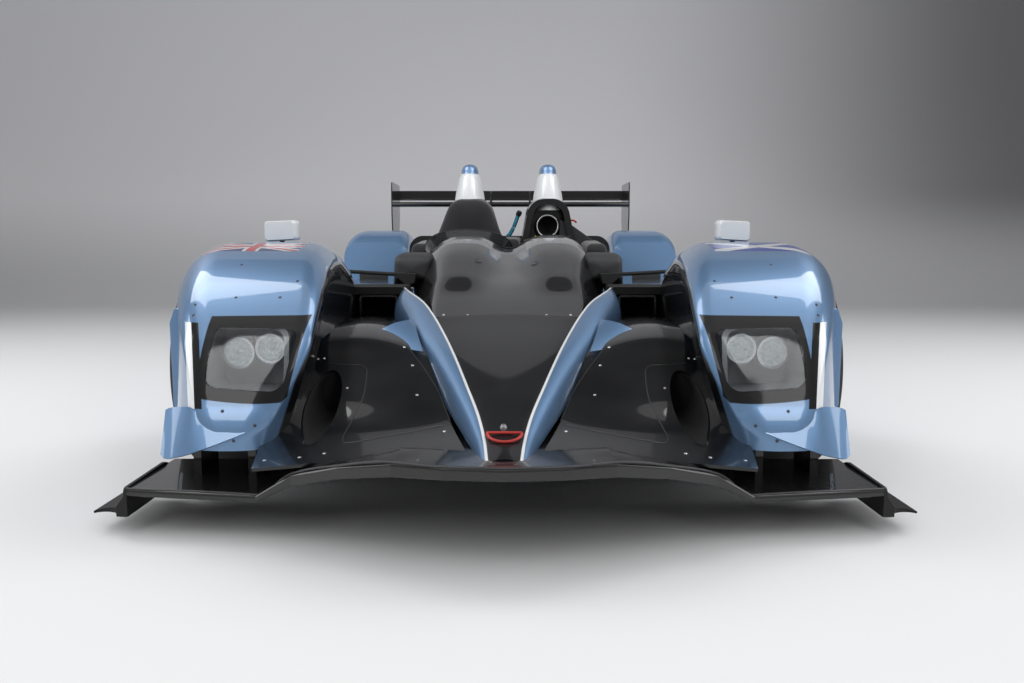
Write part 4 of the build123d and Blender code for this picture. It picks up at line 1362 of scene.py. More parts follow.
@dataclass
class FrontPod:
    """Pod over a front wheel: skin, clear cover, lamps, fasteners and trim.

    Rows: place from the axle, bottom inner and outer, top inner and outer, low, high, round inner and outer.
    Lamps: x, z, radius. Outlines are in X and Z, apart from the bulb's radius and depth and the inner cut's
    place from the axle and height.
    """

    side: int
    tag: str
    flag: Flag
    rows: Rows = (
        (-0.652, 0.594, 0.776, 0.562, 0.762, 0.200, 0.305, 0.044, 0.044),
        (-0.628, 0.584, 0.792, 0.520, 0.774, 0.192, 0.385, 0.044, 0.050),
        (-0.598, 0.576, 0.812, 0.490, 0.792, 0.188, 0.448, 0.044, 0.056),
        (-0.560, 0.568, 0.836, 0.472, 0.813, 0.184, 0.502, 0.044, 0.064),
        (-0.330, 0.564, 0.924, 0.484, 0.910, 0.176, 0.640, 0.066, 0.108),
        (-0.150, 0.564, 0.970, 0.500, 0.958, 0.176, 0.690, 0.090, 0.130),
        (0.010, 0.568, 0.990, 0.512, 0.972, 0.176, 0.706, 0.104, 0.142),
        (0.300, 0.572, 0.996, 0.530, 0.990, 0.176, 0.662, 0.100, 0.150),
        (0.540, 0.574, 0.986, 0.548, 0.978, 0.176, 0.545, 0.080, 0.120),
    )
    wall: float = 0.008
    bulge: float = 0.022
    arch_gap: float = 0.024
    clear: Outline = ((0.741, 0.352), (0.728, 0.492), (0.520, 0.488), (0.549, 0.338))
    deep: float = 0.42
    lamps: Tuple[Point, ...] = ((0.693, 0.420, 0.036), (0.610, 0.431, 0.033))
    bulb: Outline = ((0.0, 0.046), (0.006, 0.045), (0.010, 0.040), (0.011, 0.006), (0.0, 0.004))
    tray_mouth: Outline = ((0.770, 0.316), (0.764, 0.496), (0.545, 0.496), (0.552, 0.316))
    tray_inner: Outline = ((0.760, 0.326), (0.754, 0.487), (0.556, 0.487), (0.566, 0.326))
    tray_ends: Tuple[float, float] = (-0.560, -0.400)
    inner_cut: Outline = ((-0.34, 0.10), (0.58, 0.10), (0.58, 0.434), (-0.34, 0.434))
    inner_round: Tuple[float, ...] = (0.01, 0.01, 0.02, 0.06)
    inner_ends: Tuple[float, float] = (0.43, 0.64)
    studs: Outline = (
        (0.800, 0.545), (0.700, 0.560), (0.590, 0.560), (0.560, 0.600), (0.690, 0.292),
        (0.610, 0.262), (0.770, 0.262), (0.660, 0.228), (0.795, 0.520), (0.735, 0.640),
    )

    def grid(self) -> np.ndarray:
        """Outer surface on a grid: rounded sections along the car behind a domed front.

        Returns:
            Array of stations by profile points by three.
        """
        share = np.linspace(0, 1, 118)[:, None] ** 1.55
        y = self.rows[0][0] + share * (self.rows[-1][0] - self.rows[0][0])
        values = columns(self.rows, y)[..., 0]
        low_in, low_out, top_in, top_out, low, high, round_in, round_out = values
        zero = np.zeros(len(y))
        corners = corners_of((low_out, top_out, top_in, low_in), low, high)
        section = chain(corners, [zero, round_out, round_in, zero], 18, 22, False)
        body = points_of(section[..., 0], y, section[..., 1])
        turn = np.linspace(0, math.pi / 4, 10)[:-1]
        foot = np.array([body[0, :, 0].mean(), 0.0, low[0]])
        cap = foot + (body[0] - foot) * (np.sin(turn) / math.sin(math.pi / 4))[:, None, None]
        drop = (np.cos(turn) - math.cos(math.pi / 4)) / (1 - math.cos(math.pi / 4))
        cap[:, :, 1] = y[0] - self.bulge * drop[:, None]
        whole = np.concatenate([cap, body], axis=0)
        whole[:, :, 1] += FRONT_AXLE[1]
        return whole

    def skin_object(self, name: str, wall: float) -> bpy.types.Object:
        """The outer surface with a wall.

        Args:
            name: the object's name.
            wall: its thickness.

        Returns:
            A closed shell.
        """
        grid = mirrored(self.grid(), self.side)
        faces = quads(*grid.shape[:2])
        piece = mesh_object(name, grid, (faces[:, ::-1] if self.side > 0 else faces).tolist())
        work = bmesh.new()
        work.from_mesh(piece.data)
        bmesh.ops.remove_doubles(work, verts=work.verts, dist=1e-6)
        work.to_mesh(piece.data)
        work.free()
        thicken(piece, wall)
        turn_out(piece)
        return piece

    def window(self, name: str, grow: float, deep: float) -> bpy.types.Object:
        """Prism through the pod's face, with the clear opening's outline.

        Args:
            name: the object's name.
            grow: how far outside the outline.
            deep: how far behind the axle line ahead it reaches.

        Returns:
            The prism.
        """
        middle_x = sum(x for x, _ in self.clear) / 4
        middle_z = sum(z for _, z in self.clear) / 4
        corners = [(x + math.copysign(grow, x - middle_x), z + math.copysign(grow, z - middle_z))
                   for x, z in self.clear]
        ends = (FRONT_AXLE[1] - 0.75, FRONT_AXLE[1] - deep)
        return block(name, corners, (0.030, 0.020, 0.020, 0.040), ends, self.side)

    def build_skin(self) -> None:
        """Skin with its lamp opening, wheel arch and inner cut-out; its brake slot is no cut but painted
        shade in its paint.
        """
        skin = self.skin_object("front_pod_skin_" + self.tag, self.wall)
        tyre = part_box("front_tyre_left")
        radius = (tyre[1][2] - tyre[0][2]) / 2
        wide = radius + self.arch_gap
        arch = turned("arch", [(0, 0), (wide, 0), (wide, 0.3), (0, 0.3)],
                      (self.side * (FRONT_AXLE[0] + 0.05), FRONT_AXLE[1], radius), (self.side, 0, 0), 96)
        inner = outline(self.inner_cut, self.inner_round) + [FRONT_AXLE[1], 0]
        ends = sorted(self.side * x for x in self.inner_ends)
        carve(skin, [self.window("window", 0.0, self.deep), arch, prism("inner", inner, 0, *ends)])
        shade(skin)
        paint = PodPaint("pod_blue_" + self.flag.value, self.side, self.flag).build()
        settle(skin, paint, nodes=("front_fender_" + self.tag,))

    def build_cover(self) -> None:
        """Clear cover, the part of a thinner skin that lies inside the opening."""
        cover = self.skin_object("lamp_cover_" + self.tag, 0.003)
        carve(cover, [self.window("window", -0.0008, self.deep)], keep=True)
        shade(cover)
        settle(cover, Coat.CLEAR, nodes=left_only(self.side, "headlight_covers"))

    def build_lamps(self) -> None:
        """Tray behind the cover with two round lamps: ring, mirror bowl, bulb and domed glass."""
        settle(self.tray(), Coat.TRAY, nodes=left_only(self.side, "headlight_units"))
        rings, mirrors, glasses = [], [], []
        for x, z, radius in self.lamps:
            centre, ahead = (self.side * x, FRONT_AXLE[1] - 0.450, z), (0, -1, 0)
            outer = radius + 0.006
            ring = [(radius, 0), (outer, 0), (outer, 0.055), (radius, 0.055), (radius, 0)]
            rings.append(turned("ring", ring, centre, ahead))
            bowl = [(radius * math.sin(t), 0.045 - 0.04 * math.cos(t)) for t in np.linspace(0, 1.45, 12)]
            rim = [(radius * 0.985, 0.052), (radius * 0.99, 0.0), (0.0, -0.002)]
            mirrors.append(turned("bowl", bowl + rim, centre, ahead))
            mirrors.append(turned("bulb", self.bulb, centre, ahead, 20))
            glass = [(radius * math.sin(t), 0.047 + 0.008 * math.cos(t)) for t in np.linspace(0, 1.5, 9)]
            back = [(a, b - 0.0015) for a, b in glass[::-1]]
            glasses.append(turned("glass", glass + back, centre, ahead))
        settle(join("lamp_rings_" + self.tag, rings), Coat.BRIGHT)
        mirror = join("lamp_mirrors_" + self.tag, mirrors)
        shade(mirror)
        settle(mirror, Coat.REFLECTOR)
        glass = join("lamp_glasses_" + self.tag, glasses)
        shade(glass)
        settle(glass, Coat.CLEAR)

    def tray(self) -> bpy.types.Object:
        """Open tray: outer wall, lip, inner wall and floor, as four rings of one closed surface.

        Returns:
            The tray.
        """
        front, back = (FRONT_AXLE[1] + end for end in self.tray_ends)
        mouth, inner = (outline(edge, (0.03,) * 4) for edge in (self.tray_mouth, self.tray_inner))
        levels = ((mouth, back), (mouth, front), (inner, front), (inner, back - 0.012))
        tray = closed("lamp_tray_" + self.tag, nested(levels, self.side))
        shade(tray)
        return tray

    def build_trim(self) -> None:
        """Fasteners over the skin."""
        front = mirrored(self.grid(), self.side)[:70]
        places, normals = on_surface(front, np.array(self.studs) * [self.side, 1], (0, 2))
        outward = np.sign((normals * (places - [self.side * 0.77, FRONT_AXLE[1], 0.33])).sum(axis=1))
        heads = studs("pod_studs_" + self.tag, places, normals * outward[:, None], 0.0042)
        settle(heads, Coat.STEEL)

    def build(self) -> None:
        """Build and dress the pod."""
        self.build_skin()
        self.build_cover()
        self.build_lamps()
        self.build_trim()


@dataclass
class Deck:
    """Black panel between the nose and a pod, with its brake duct.

    Rows: place from the front axle, inner x, outer x, inner top, outer top, crown. Seams and studs are in X
    and Z. The duct ends a little behind its mouth on the panel, and at a place from the axle.
    """

    side: int
    tag: str
    rows: Rows = (
        (-0.800, 0.090, 0.580, 0.232, 0.190, 0.000),
        (-0.640, 0.128, 0.600, 0.250, 0.214, 0.004),
        (-0.480, 0.168, 0.590, 0.290, 0.286, 0.012),
        (-0.320, 0.208, 0.564, 0.346, 0.356, 0.016),
        (-0.160, 0.246, 0.552, 0.396, 0.424, 0.018),
        (0.000, 0.280, 0.545, 0.418, 0.446, 0.018),
        (0.200, 0.330, 0.540, 0.430, 0.448, 0.014),
        (0.395, 0.384, 0.532, 0.394, 0.396, 0.006),
    )
    wall: float = 0.008
    duct: Tuple[float, float] = (0.480, 0.284)
    duct_half: Tuple[float, float] = (0.046, 0.068)
    duct_ends: Tuple[float, float] = (0.014, -0.36)
    seams: Tuple[Tuple[str, Outline], ...] = (
        ("panel", ((0.512, 0.366), (0.388, 0.362), (0.372, 0.300), (0.402, 0.222), (0.300, 0.234),
                   (0.132, 0.256))),
        ("edge", ((0.132, 0.256), (0.198, 0.322), (0.270, 0.384), (0.296, 0.404))),
    )
    studs: Outline = (
        (0.535, 0.375), (0.517, 0.375), (0.425, 0.318), (0.480, 0.205), (0.425, 0.212),
        (0.235, 0.300), (0.150, 0.245), (0.265, 0.360), (0.300, 0.400), (0.560, 0.200),
    )

    def grid(self) -> np.ndarray:
        """Top surface: straight across between an inner and an outer edge, raised by a sine crown."""
        y = spread(self.rows, 110)
        inner, outer, z_in, z_out, crown = columns(self.rows, y)
        u = np.linspace(0, 1, 60)[None, :]
        x = inner * (1 - u) + outer * u
        z = z_in * (1 - u) + z_out * u + crown * np.sin(math.pi * u)
        return points_of(x, y + FRONT_AXLE[1], z)

    def front_of(self, section: np.ndarray) -> np.ndarray:
        """Where rays that go backwards through an outline meet the panel.

        Args:
            section: outline points in X and Z.

        Returns:
            The Y at which the panel's height first equals each point's.
        """
        grid = self.grid()
        column = (section[:, 0] - grid[:, :1, 0]) / (grid[:, -1:, 0] - grid[:, :1, 0])
        index = np.clip(column, 0, 1) * (grid.shape[1] - 1)
        height = np.take_along_axis(grid[:, :, 2], np.round(index).astype(int), axis=1)
        hit = (height >= section[None, :, 1]).argmax(axis=0)
        return grid[hit, 0, 1]

    def build(self) -> None:
        """Build the panel, the duct and the fasteners."""
        grid = mirrored(self.grid(), self.side)
        panel = sheet("front_deck_" + self.tag, grid, self.wall, side=-1.0, flip=self.side < 0)
        hole = ellipse((self.side * self.duct[0], self.duct[1]), self.duct_half)
        carve(panel, [prism("duct", hole, 1, FRONT_AXLE[1] - 0.9, FRONT_AXLE[1] - 0.2)])
        shade(panel)
        settle(panel, Coat.BLACK, nodes=left_only(self.side, "front_decks"))
        self.build_duct()
        self.build_fasteners(grid)
        self.build_seams(grid)

    def build_duct(self) -> None:
        """Duct behind the hole: an elliptical tube whose mouth lies on the panel."""
        section = ellipse(self.duct, (self.duct_half[0] + 0.002, self.duct_half[1] + 0.002))
        lip, back = self.duct_ends
        share = np.linspace(0, 1, 14)[:, None]
        y = (self.front_of(section)[None] + lip) * (1 - share) + (FRONT_AXLE[1] + back + 0.02 * share) * share
        centre = np.array(self.duct)
        flat = centre + (section[None] - centre) * (1 - 0.25 * share[..., None])
        points = points_of(self.side * flat[..., 0], y, flat[..., 1])
        faces = quads(*points.shape[:2], round_columns=True).tolist()
        faces.append([(len(points) - 1) * len(section) + index for index in range(len(section))])
        duct = mesh_object("brake_duct_" + self.tag, points, faces)
        thicken(duct, 0.003, 0.0)
        turn_out(duct)
        shade(duct)
        settle(duct, Coat.WELL)

    def build_seams(self, grid: np.ndarray) -> None:
        """Raised seam beads round the duct panel and along the nose.

        Args:
            grid: the panel's surface.
        """
        for name, knots in self.seams:
            flat = np.concatenate([np.linspace(a, b, 30) for a, b in zip(knots[:-1], knots[1:])])
            places, _ = on_surface(grid, flat * [self.side, 1], (0, 2))
            soft = np.stack([smoothed(places[:, axis], 15) for axis in range(3)], axis=1)
            settle(tube(f"deck_{name}_seam_{self.tag}", soft[::3], 0.0018, 6), Coat.STEEL)

    def build_fasteners(self, grid: np.ndarray) -> None:
        """Bright fasteners round the duct panel and along the seams.

        Args:
            grid: the panel's surface.
        """
        spots = np.array(self.studs) * [self.side, 1]
        fasten("deck_studs_" + self.tag, grid, spots, (0, 2), 0.0045, Coat.BRIGHT)


@dataclass
class Cowl:
    """Cockpit cover: a rounded hood with two bubbles and the cockpit's opening.

    Hood rows: y, bottom half, top half, low, high, round. Bubble rows: y, rise, half width. Opening: its
    two ends in X, then in Y.
    """

    hood: Rows = (
        (-1.308, 0.243, 0.236, 0.400, 0.470, 0.014),
        (-1.100, 0.310, 0.250, 0.420, 0.522, 0.040),
        (-0.900, 0.352, 0.262, 0.440, 0.566, 0.060),
        (-0.420, 0.414, 0.340, 0.470, 0.640, 0.090),
        (0.000, 0.420, 0.360, 0.480, 0.668, 0.090),
        (0.420, 0.424, 0.372, 0.490, 0.690, 0.080),
    )
    bubbles: Rows = (
        (-1.308, 0.000, 0.060), (-1.120, 0.004, 0.070), (-0.900, 0.030, 0.088), (-0.600, 0.066, 0.120),
        (-0.330, 0.082, 0.142), (-0.200, 0.078, 0.148), (0.420, 0.040, 0.150),
    )
    centres: Tuple[float, float] = (-0.178, 0.184)
    wall: float = 0.006
    opening: Tuple[float, ...] = (-0.336, 0.336, -0.232, 0.330)
    latches: Outline = ((-0.119, -0.75), (0.105, -0.75))

    def grid(self) -> np.ndarray:
        """Hood sections through rounded corners, raised by bells with flat tops at the bubbles."""
        y = spread(self.hood, 170)
        low_half, top_half, low, high, radius = columns(self.hood, y)[..., 0]
        corners = corners_of((-low_half, -top_half, top_half, low_half), low, high)
        zero = np.zeros(len(y))
        section = chain(corners, [zero, radius, radius, zero], 14, 40, False)
        rise, half = columns(self.bubbles, y)
        share = np.clip((section[..., 1] - low[:, None]) / (high - low)[:, None], 0, 1) ** 2
        for centre in self.centres:
            bell = np.exp(-np.abs((section[..., 0] - centre) / half) ** 3.2)
            section[..., 1] += rise * bell * share
        return points_of(section[..., 0], y, section[..., 1])

    def build_hood(self) -> None:
        """Hood with its wall and the opening cut out."""
        grid = self.grid()
        hood = sheet("cockpit_hood", grid, self.wall, side=-1.0)
        x0, x1, y0, y1 = self.opening
        plan = outline([(x0, y0), (x1, y0), (x1, y1), (x0, y1)], (0.10, 0.10, 0.03, 0.03), 14)
        carve(hood, [prism("opening", plan, 2, 0.40, 0.95)])
        shade(hood, 40)
        settle(hood, Coat.HOOD, nodes=("cockpit_cowl",))
        self.build_fasteners(grid)
        self.build_lip(grid)

    def build_fasteners(self, grid: np.ndarray) -> None:
        """Two turn fasteners and a row of small ones along the front seam.

        Args:
            grid: the hood's surface.
        """
        fasten("hood_latches", grid[:, 60:-60], np.array(self.latches), (0, 1), 0.015, Coat.STEEL)
        seam = points_of(np.linspace(-0.20, 0.20, 6), -1.292)
        fasten("hood_studs", grid, seam, (0, 1), 0.0045, Coat.BRIGHT)

    def build_lip(self, grid: np.ndarray) -> None:
        """Rubber lip along the front edge of the opening, on the hood's surface.

        Args:
            grid: the hood's surface.
        """
        x0, x1, y0, _ = self.opening
        x = np.linspace(x0 + 0.07, x1 - 0.07, 60)
        places, _ = on_surface(grid, points_of(x, y0), (0, 1))
        path = points_of(x, y0, smoothed(places[:, 2], 7))
        settle(tube("opening_lip", path, 0.0045, 10), Coat.DARK)

    def build_screen(self) -> None:
        """Curved screen round the driver's bubble: straight lines from a foot arc to a wider, higher arc."""
        turn = np.radians(np.linspace(-88, 88, 72))[None, :]
        lift = np.linspace(0, 1, 14)[:, None]
        across = 0.172 + 0.022 * lift
        x = self.centres[0] + across * np.sin(turn)
        y = -0.150 + 0.030 * lift - (0.185 - 0.010 * lift) * np.cos(turn)
        foot = 0.636 + 0.074 * np.cos(turn) ** 0.8
        head = 0.668 + 0.092 * np.cos(turn) ** 0.8
        z = foot * (1 - lift) + head * lift
        grid = points_of(x, y, z)
        screen = sheet("driver_screen", grid, 0.003, 50)
        settle(screen, Coat.SMOKE, nodes=("windscreen",))
        settle(tube("screen_edge", grid[-1], 0.0028, 8), Coat.DARK)

    def build(self) -> None:
        """Build the hood and its screen."""
        self.build_hood()
        self.build_screen()


def lofted(name: str, table: Sequence[Sequence[float]], centre: float, steps: int = 90,
           dome: float = 0.03, arc: int = 12) -> bpy.types.Object:
    """Closed body along the car through rounded four-cornered sections, with a domed front.

    Args:
        name: the object's name.
        table: rows of y, bottom half, top half, low, high, round.
        centre: the X of its middle.
        steps: stations.
        dome: how far the front bulges.
        arc: points on each rounding.

    Returns:
        The body.
    """
    y = spread(table, steps)
    low_half, top_half, low, high, radius = columns(table, y)[..., 0]
    places = (centre - low_half, centre - top_half, centre + top_half, centre + low_half)
    small = np.full(len(y), 0.010)
    section = chain(corners_of(places, low, high), [small, radius, radius, small], arc, 10, True)
    body = points_of(section[..., 0], y, section[..., 1])
    turn = np.linspace(0.12, math.pi / 2, 9)[:-1]
    core = body[0].mean(axis=0)
    cap = core + (body[0] - core) * np.sin(turn)[:, None, None]
    cap[:, :, 1] = y[0] - dome * np.cos(turn)[:, None]
    piece = closed(name, np.concatenate([cap, body], axis=0))
    shade(piece, 45)
    return piece


@dataclass
class Cockpit:
    """What stands behind the cockpit: padded headrest, intake, hoops and shoulders.

    Rows of a lofted body: y, bottom half, top half, low, high, round. Rows of the hoops: z, half width,
    half length, y of the middle.
    """

    driver_x: float = -0.198
    intake_x: float = 0.194
    headrest: Rows = (
        (0.345, 0.182, 0.088, 0.680, 0.916, 0.085), (0.470, 0.186, 0.098, 0.640, 0.930, 0.095),
    )
    seam_y: float = 0.352
    seam_lean: float = 0.002
    tail: Rows = (
        (0.471, 0.168, 0.098, 0.560, 0.928, 0.095), (0.900, 0.124, 0.080, 0.560, 0.850, 0.078),
        (1.500, 0.078, 0.046, 0.500, 0.660, 0.044), (1.960, 0.044, 0.028, 0.430, 0.520, 0.024),
    )
    intake_front: Tuple[float, ...] = (0.340, 0.165, 0.090, 0.560, 0.920, 0.088)
    throat: Rows = (
        (0.300, 0.126, 0.066, 0.600, 0.894, 0.062), (0.560, 0.100, 0.060, 0.660, 0.880, 0.058),
    )
    hoops: Rows = (
        (0.865, 0.086, 0.200, 0.560), (0.930, 0.077, 0.180, 0.565), (1.000, 0.063, 0.150, 0.575),
        (1.048, 0.051, 0.118, 0.583), (1.055, 0.047, 0.112, 0.585), (1.076, 0.044, 0.100, 0.585),
        (1.093, 0.037, 0.084, 0.585), (1.102, 0.026, 0.060, 0.585), (1.1065, 0.012, 0.030, 0.585),
    )
    cap_seam: Tuple[float, float] = (1.048, 1.0515)
    ring_place: Point = (0.190, 0.372, 0.786)
    ring_round: Tuple[float, float] = (0.053, 0.0045)
    duct: Outline = (
        (0.0, 0.15), (0.047, 0.14), (0.049, 0.004), (0.058, 0.0), (0.060, 0.012), (0.056, 0.15), (0.0, 0.16),
    )
    tags: Tuple[Point, ...] = ((0.128, 0.335, 0.728), (0.402, 0.352, 0.690))
    tag_plan: Outline = ((-0.014, -0.006), (0.014, -0.012), (0.014, 0.004), (0.0, 0.010))
    shoulders: Rows = (
        (0.425, 0.520, 0.505, 0.480, 0.738, 0.070), (0.600, 0.500, 0.450, 0.470, 0.715, 0.070),
        (0.900, 0.420, 0.330, 0.450, 0.645, 0.070), (1.400, 0.372, 0.240, 0.440, 0.560, 0.050),
        (2.000, 0.250, 0.190, 0.405, 0.470, 0.020),
    )
    side_pad: Rows = (
        (0.060, 0.050, 0.046, 0.600, 0.700, 0.030), (0.424, 0.060, 0.054, 0.600, 0.716, 0.036),
    )
    side_pad_x: float = 0.408
    middle_pad: Rows = (
        (0.250, 0.036, 0.036, 0.610, 0.722, 0.022), (0.424, 0.050, 0.050, 0.610, 0.735, 0.024),
    )
    slope: Outline = ((0.250, 0.600), (0.250, 0.820), (0.300, 0.800), (0.505, 0.655), (0.505, 0.600))
    slope_round: Tuple[float, ...] = (0.004, 0.004, 0.020, 0.020, 0.004)
    fitting_end: Outline = (
        (0, 0), (0.012, 0.0), (0.014, 0.006), (0.014, 0.020), (0.010, 0.026), (0, 0.026),
    )

    @staticmethod
    def cushion(pad: bpy.types.Object, fill: float, nodes: Sequence[str] = ()) -> None:
        """Finish a padded piece.

        Args:
            pad: the piece.
            fill: how full its padding is; not used.
            nodes: CAD nodes that it replaces.
        """
        wear(pad, Coat.SUEDE)
        settle(pad, Coat.SUEDE, nodes=nodes)

    def build_headrest(self) -> None:
        """Padded black headrest with a fairing behind it."""
        pad = lofted("headrest_pad", self.headrest, self.driver_x, 24, 0.045)
        self.cushion(pad, 0.8, ("headrest_fairing",))
        settle(lofted("headrest_tail", self.tail, self.driver_x, 90, 0.0), Coat.BLACK)
        self.build_piping()

    def build_piping(self) -> None:
        """Piping round the headrest's front: its first row's rounded section, leaning ahead at its foot."""
        _, low_half, top_half, low, high, radius = (np.array([value]) for value in self.headrest[0])
        places = [self.driver_x + half for half in (-low_half, -top_half, top_half, low_half)]
        zero = np.zeros(1)
        x, z = chain(corners_of(places, low, high), [zero, radius, radius, zero], 16, 14, False)[0].T
        path = points_of(x, self.seam_y - (high - z) / (high - low) * self.seam_lean, z)
        settle(tube("headrest_seam", path, 0.0022, 6), Coat.DARK)

    def build_intake(self) -> None:
        """Intake fairing: a hollow arch with a pale ring, a dark throat and small tags."""
        fairing = lofted("intake_tail", (self.intake_front,) + self.tail, self.intake_x, 100, 0.0)
        carve(fairing, [lofted("throat", self.throat, self.intake_x, 20, 0.0)])
        shade(fairing, 40)
        settle(fairing, Coat.BLACK, nodes=("intake_fairing",))
        liner = turned("intake_duct", self.duct, self.ring_place, (0, 1, 0), 48)
        shade(liner, 40)
        settle(liner, Coat.DARK)
        radius, thick = self.ring_round
        profile = [(radius + thick * math.cos(t), -0.002 + thick * math.sin(t))
                   for t in np.linspace(0, 2 * math.pi, 13)]
        ring = turned("intake_ring", profile, self.ring_place, (0, 1, 0), 56)
        shade(ring, 60)
        settle(ring, Coat.BRIGHT)
        for index, (x, y, z) in enumerate(self.tags):
            plan = [(x + across, z + up) for across, up in self.tag_plan]
            plate = block(f"yellow_tag_{index}", plan, (0.002,), (y - 0.004, y + 0.012))
            settle(plate, Coat.YELLOW, bevel=0.001)

    def build_hoops(self) -> None:
        """Hoop covers: oval sections that narrow upwards to a domed cap, with a seam under the cap."""
        foot, top = self.hoops[0][0], self.hoops[-1][0]
        seam_low, seam_high = self.cap_seam
        z = np.concatenate([np.linspace(foot, seam_low, 30), np.linspace(seam_high, top, 26)])[:, None]
        half, run, middle_y = columns(self.hoops, z)
        turn = circle(56)
        for index, centre in enumerate((self.driver_x - 0.008, self.intake_x + 0.004)):
            grid = points_of(centre + half * np.cos(turn), middle_y + run * np.sin(turn), z)
            hoop = closed(f"hoop_cover_{index}", grid)
            shade(hoop, 30)
            settle(hoop, Coat.HOOP, nodes=("hoop_fins",) if index == 0 else ())

    def build_shoulders(self) -> None:
        """Engine cover with its wide front shoulders, the pads and the slope beside the intake."""
        cover = lofted("engine_hood", self.shoulders, 0.0, 90, 0.0)
        settle(cover, Coat.BLACK, nodes=("engine_cover",))
        for side, tag in SIDES[::-1]:
            self.cushion(lofted("side_pad_" + tag, self.side_pad, side * self.side_pad_x, 20, 0.03), 0.7)
        slope = block("intake_slope", self.slope, self.slope_round, (0.372, 0.640))
        settle(slope, Coat.LOBE, bevel=0.006)
        self.cushion(lofted("middle_pad", self.middle_pad, 0.012, 20, 0.02), 0.7)

    def build_fitting(self) -> None:
        """Blue hose fitting between the fairings, and the red pull at the right."""
        turn = np.linspace(0, 1, 24)
        path = points_of(-0.012 + 0.055 * turn, 0.44 + 0.02 * turn, 0.735 + 0.105 * turn ** 1.6)
        settle(tube("drink_fitting", path, 0.010, 14), Coat.TEAL)
        end = turned("fitting_end", self.fitting_end, path[-1], (0.4, -0.2, 0.9), 20)
        settle(end, Coat.DARK)
        pull = points_of(0.296 + 0.044 * turn, 0.42, 0.804 + 0.012 * np.sin(turn * math.pi))
        settle(tube("red_pull", pull, 0.005, 10), Coat.PULL)

    def build(self) -> None:
        """Build everything behind the cockpit."""
        self.build_headrest()
        self.build_intake()
        self.build_hoops()
        self.build_shoulders()
        self.build_fitting()


@dataclass
class Nose:
    """Black wedge with concave edges, and the blue rails that run along them.

    Columns: y, half width of the wedge, its height, width of the rail, height of the rail's outer edge.
    """

    rows: Rows = (
        (-2.222, 0.0375, 0.226, 0.012, 0.214), (-2.124, 0.0455, 0.248, 0.020, 0.222),
        (-2.020, 0.060, 0.275, 0.032, 0.234), (-1.824, 0.101, 0.327, 0.048, 0.270),
        (-1.570, 0.159, 0.395, 0.062, 0.345), (-1.373, 0.211, 0.447, 0.072, 0.400),
        (-1.300, 0.233, 0.467, 0.074, 0.412), (-1.167, 0.278, 0.500, 0.070, 0.424),
        (-1.000, 0.345, 0.526, 0.050, 0.440), (-0.900, 0.372, 0.534, 0.020, 0.460),
    )
    seam: float = -1.306
    crown: float = 0.010

    def build_wedge(self) -> None:
        """Wedge from the tip to the seam: a low crown across between two upright sides."""
        y = np.linspace(self.rows[0][0], self.seam, 110)[:, None]
        half, high, _, _ = columns(self.rows, y)
        u = np.linspace(-1, 1, 40)[None, :]
        top = high + self.crown * (1 - u ** 2) - 0.004 * np.abs(u) ** 12
        wedge = sheet("nose_wedge", points_of((half + 0.003) * u, y, top), 0.008, 32, flip=True)
        settle(wedge, Coat.BLACK, nodes=("nose_cone",))

    def build_rails(self) -> None:
        """Rails: quarter ellipses from the wedge's edge down to the decks, with a painted highlight on top: a
        thin white tube along each rail's inner edge.
        """
        y = spread(self.rows, 150)
        half, high, width, low = columns(self.rows, y)
        turn = np.linspace(0, math.pi / 2, 22)[None, :]
        grid = points_of(half + width * np.sin(turn), y, low + (high - low) * np.cos(turn) + 0.005)
        # Painted highlight: the white tube along the wedge's edge stands for the glint on the rail's rounded
        # top.
        line = points_of(half, y, high + 0.006)[::2, 0]
        for side, tag in SIDES:
            rail = sheet("nose_rail_" + tag, mirrored(grid, side), 0.006, 50)
            settle(rail, Coat.BLUE, nodes=left_only(side, "nose_strakes"))
            settle(tube("rail_highlight_" + tag, mirrored(line, side), 0.0042, 10), Coat.WHITE)

    def build(self) -> None:
        """Build the wedge and the rails."""
        self.build_wedge()
        self.build_rails()


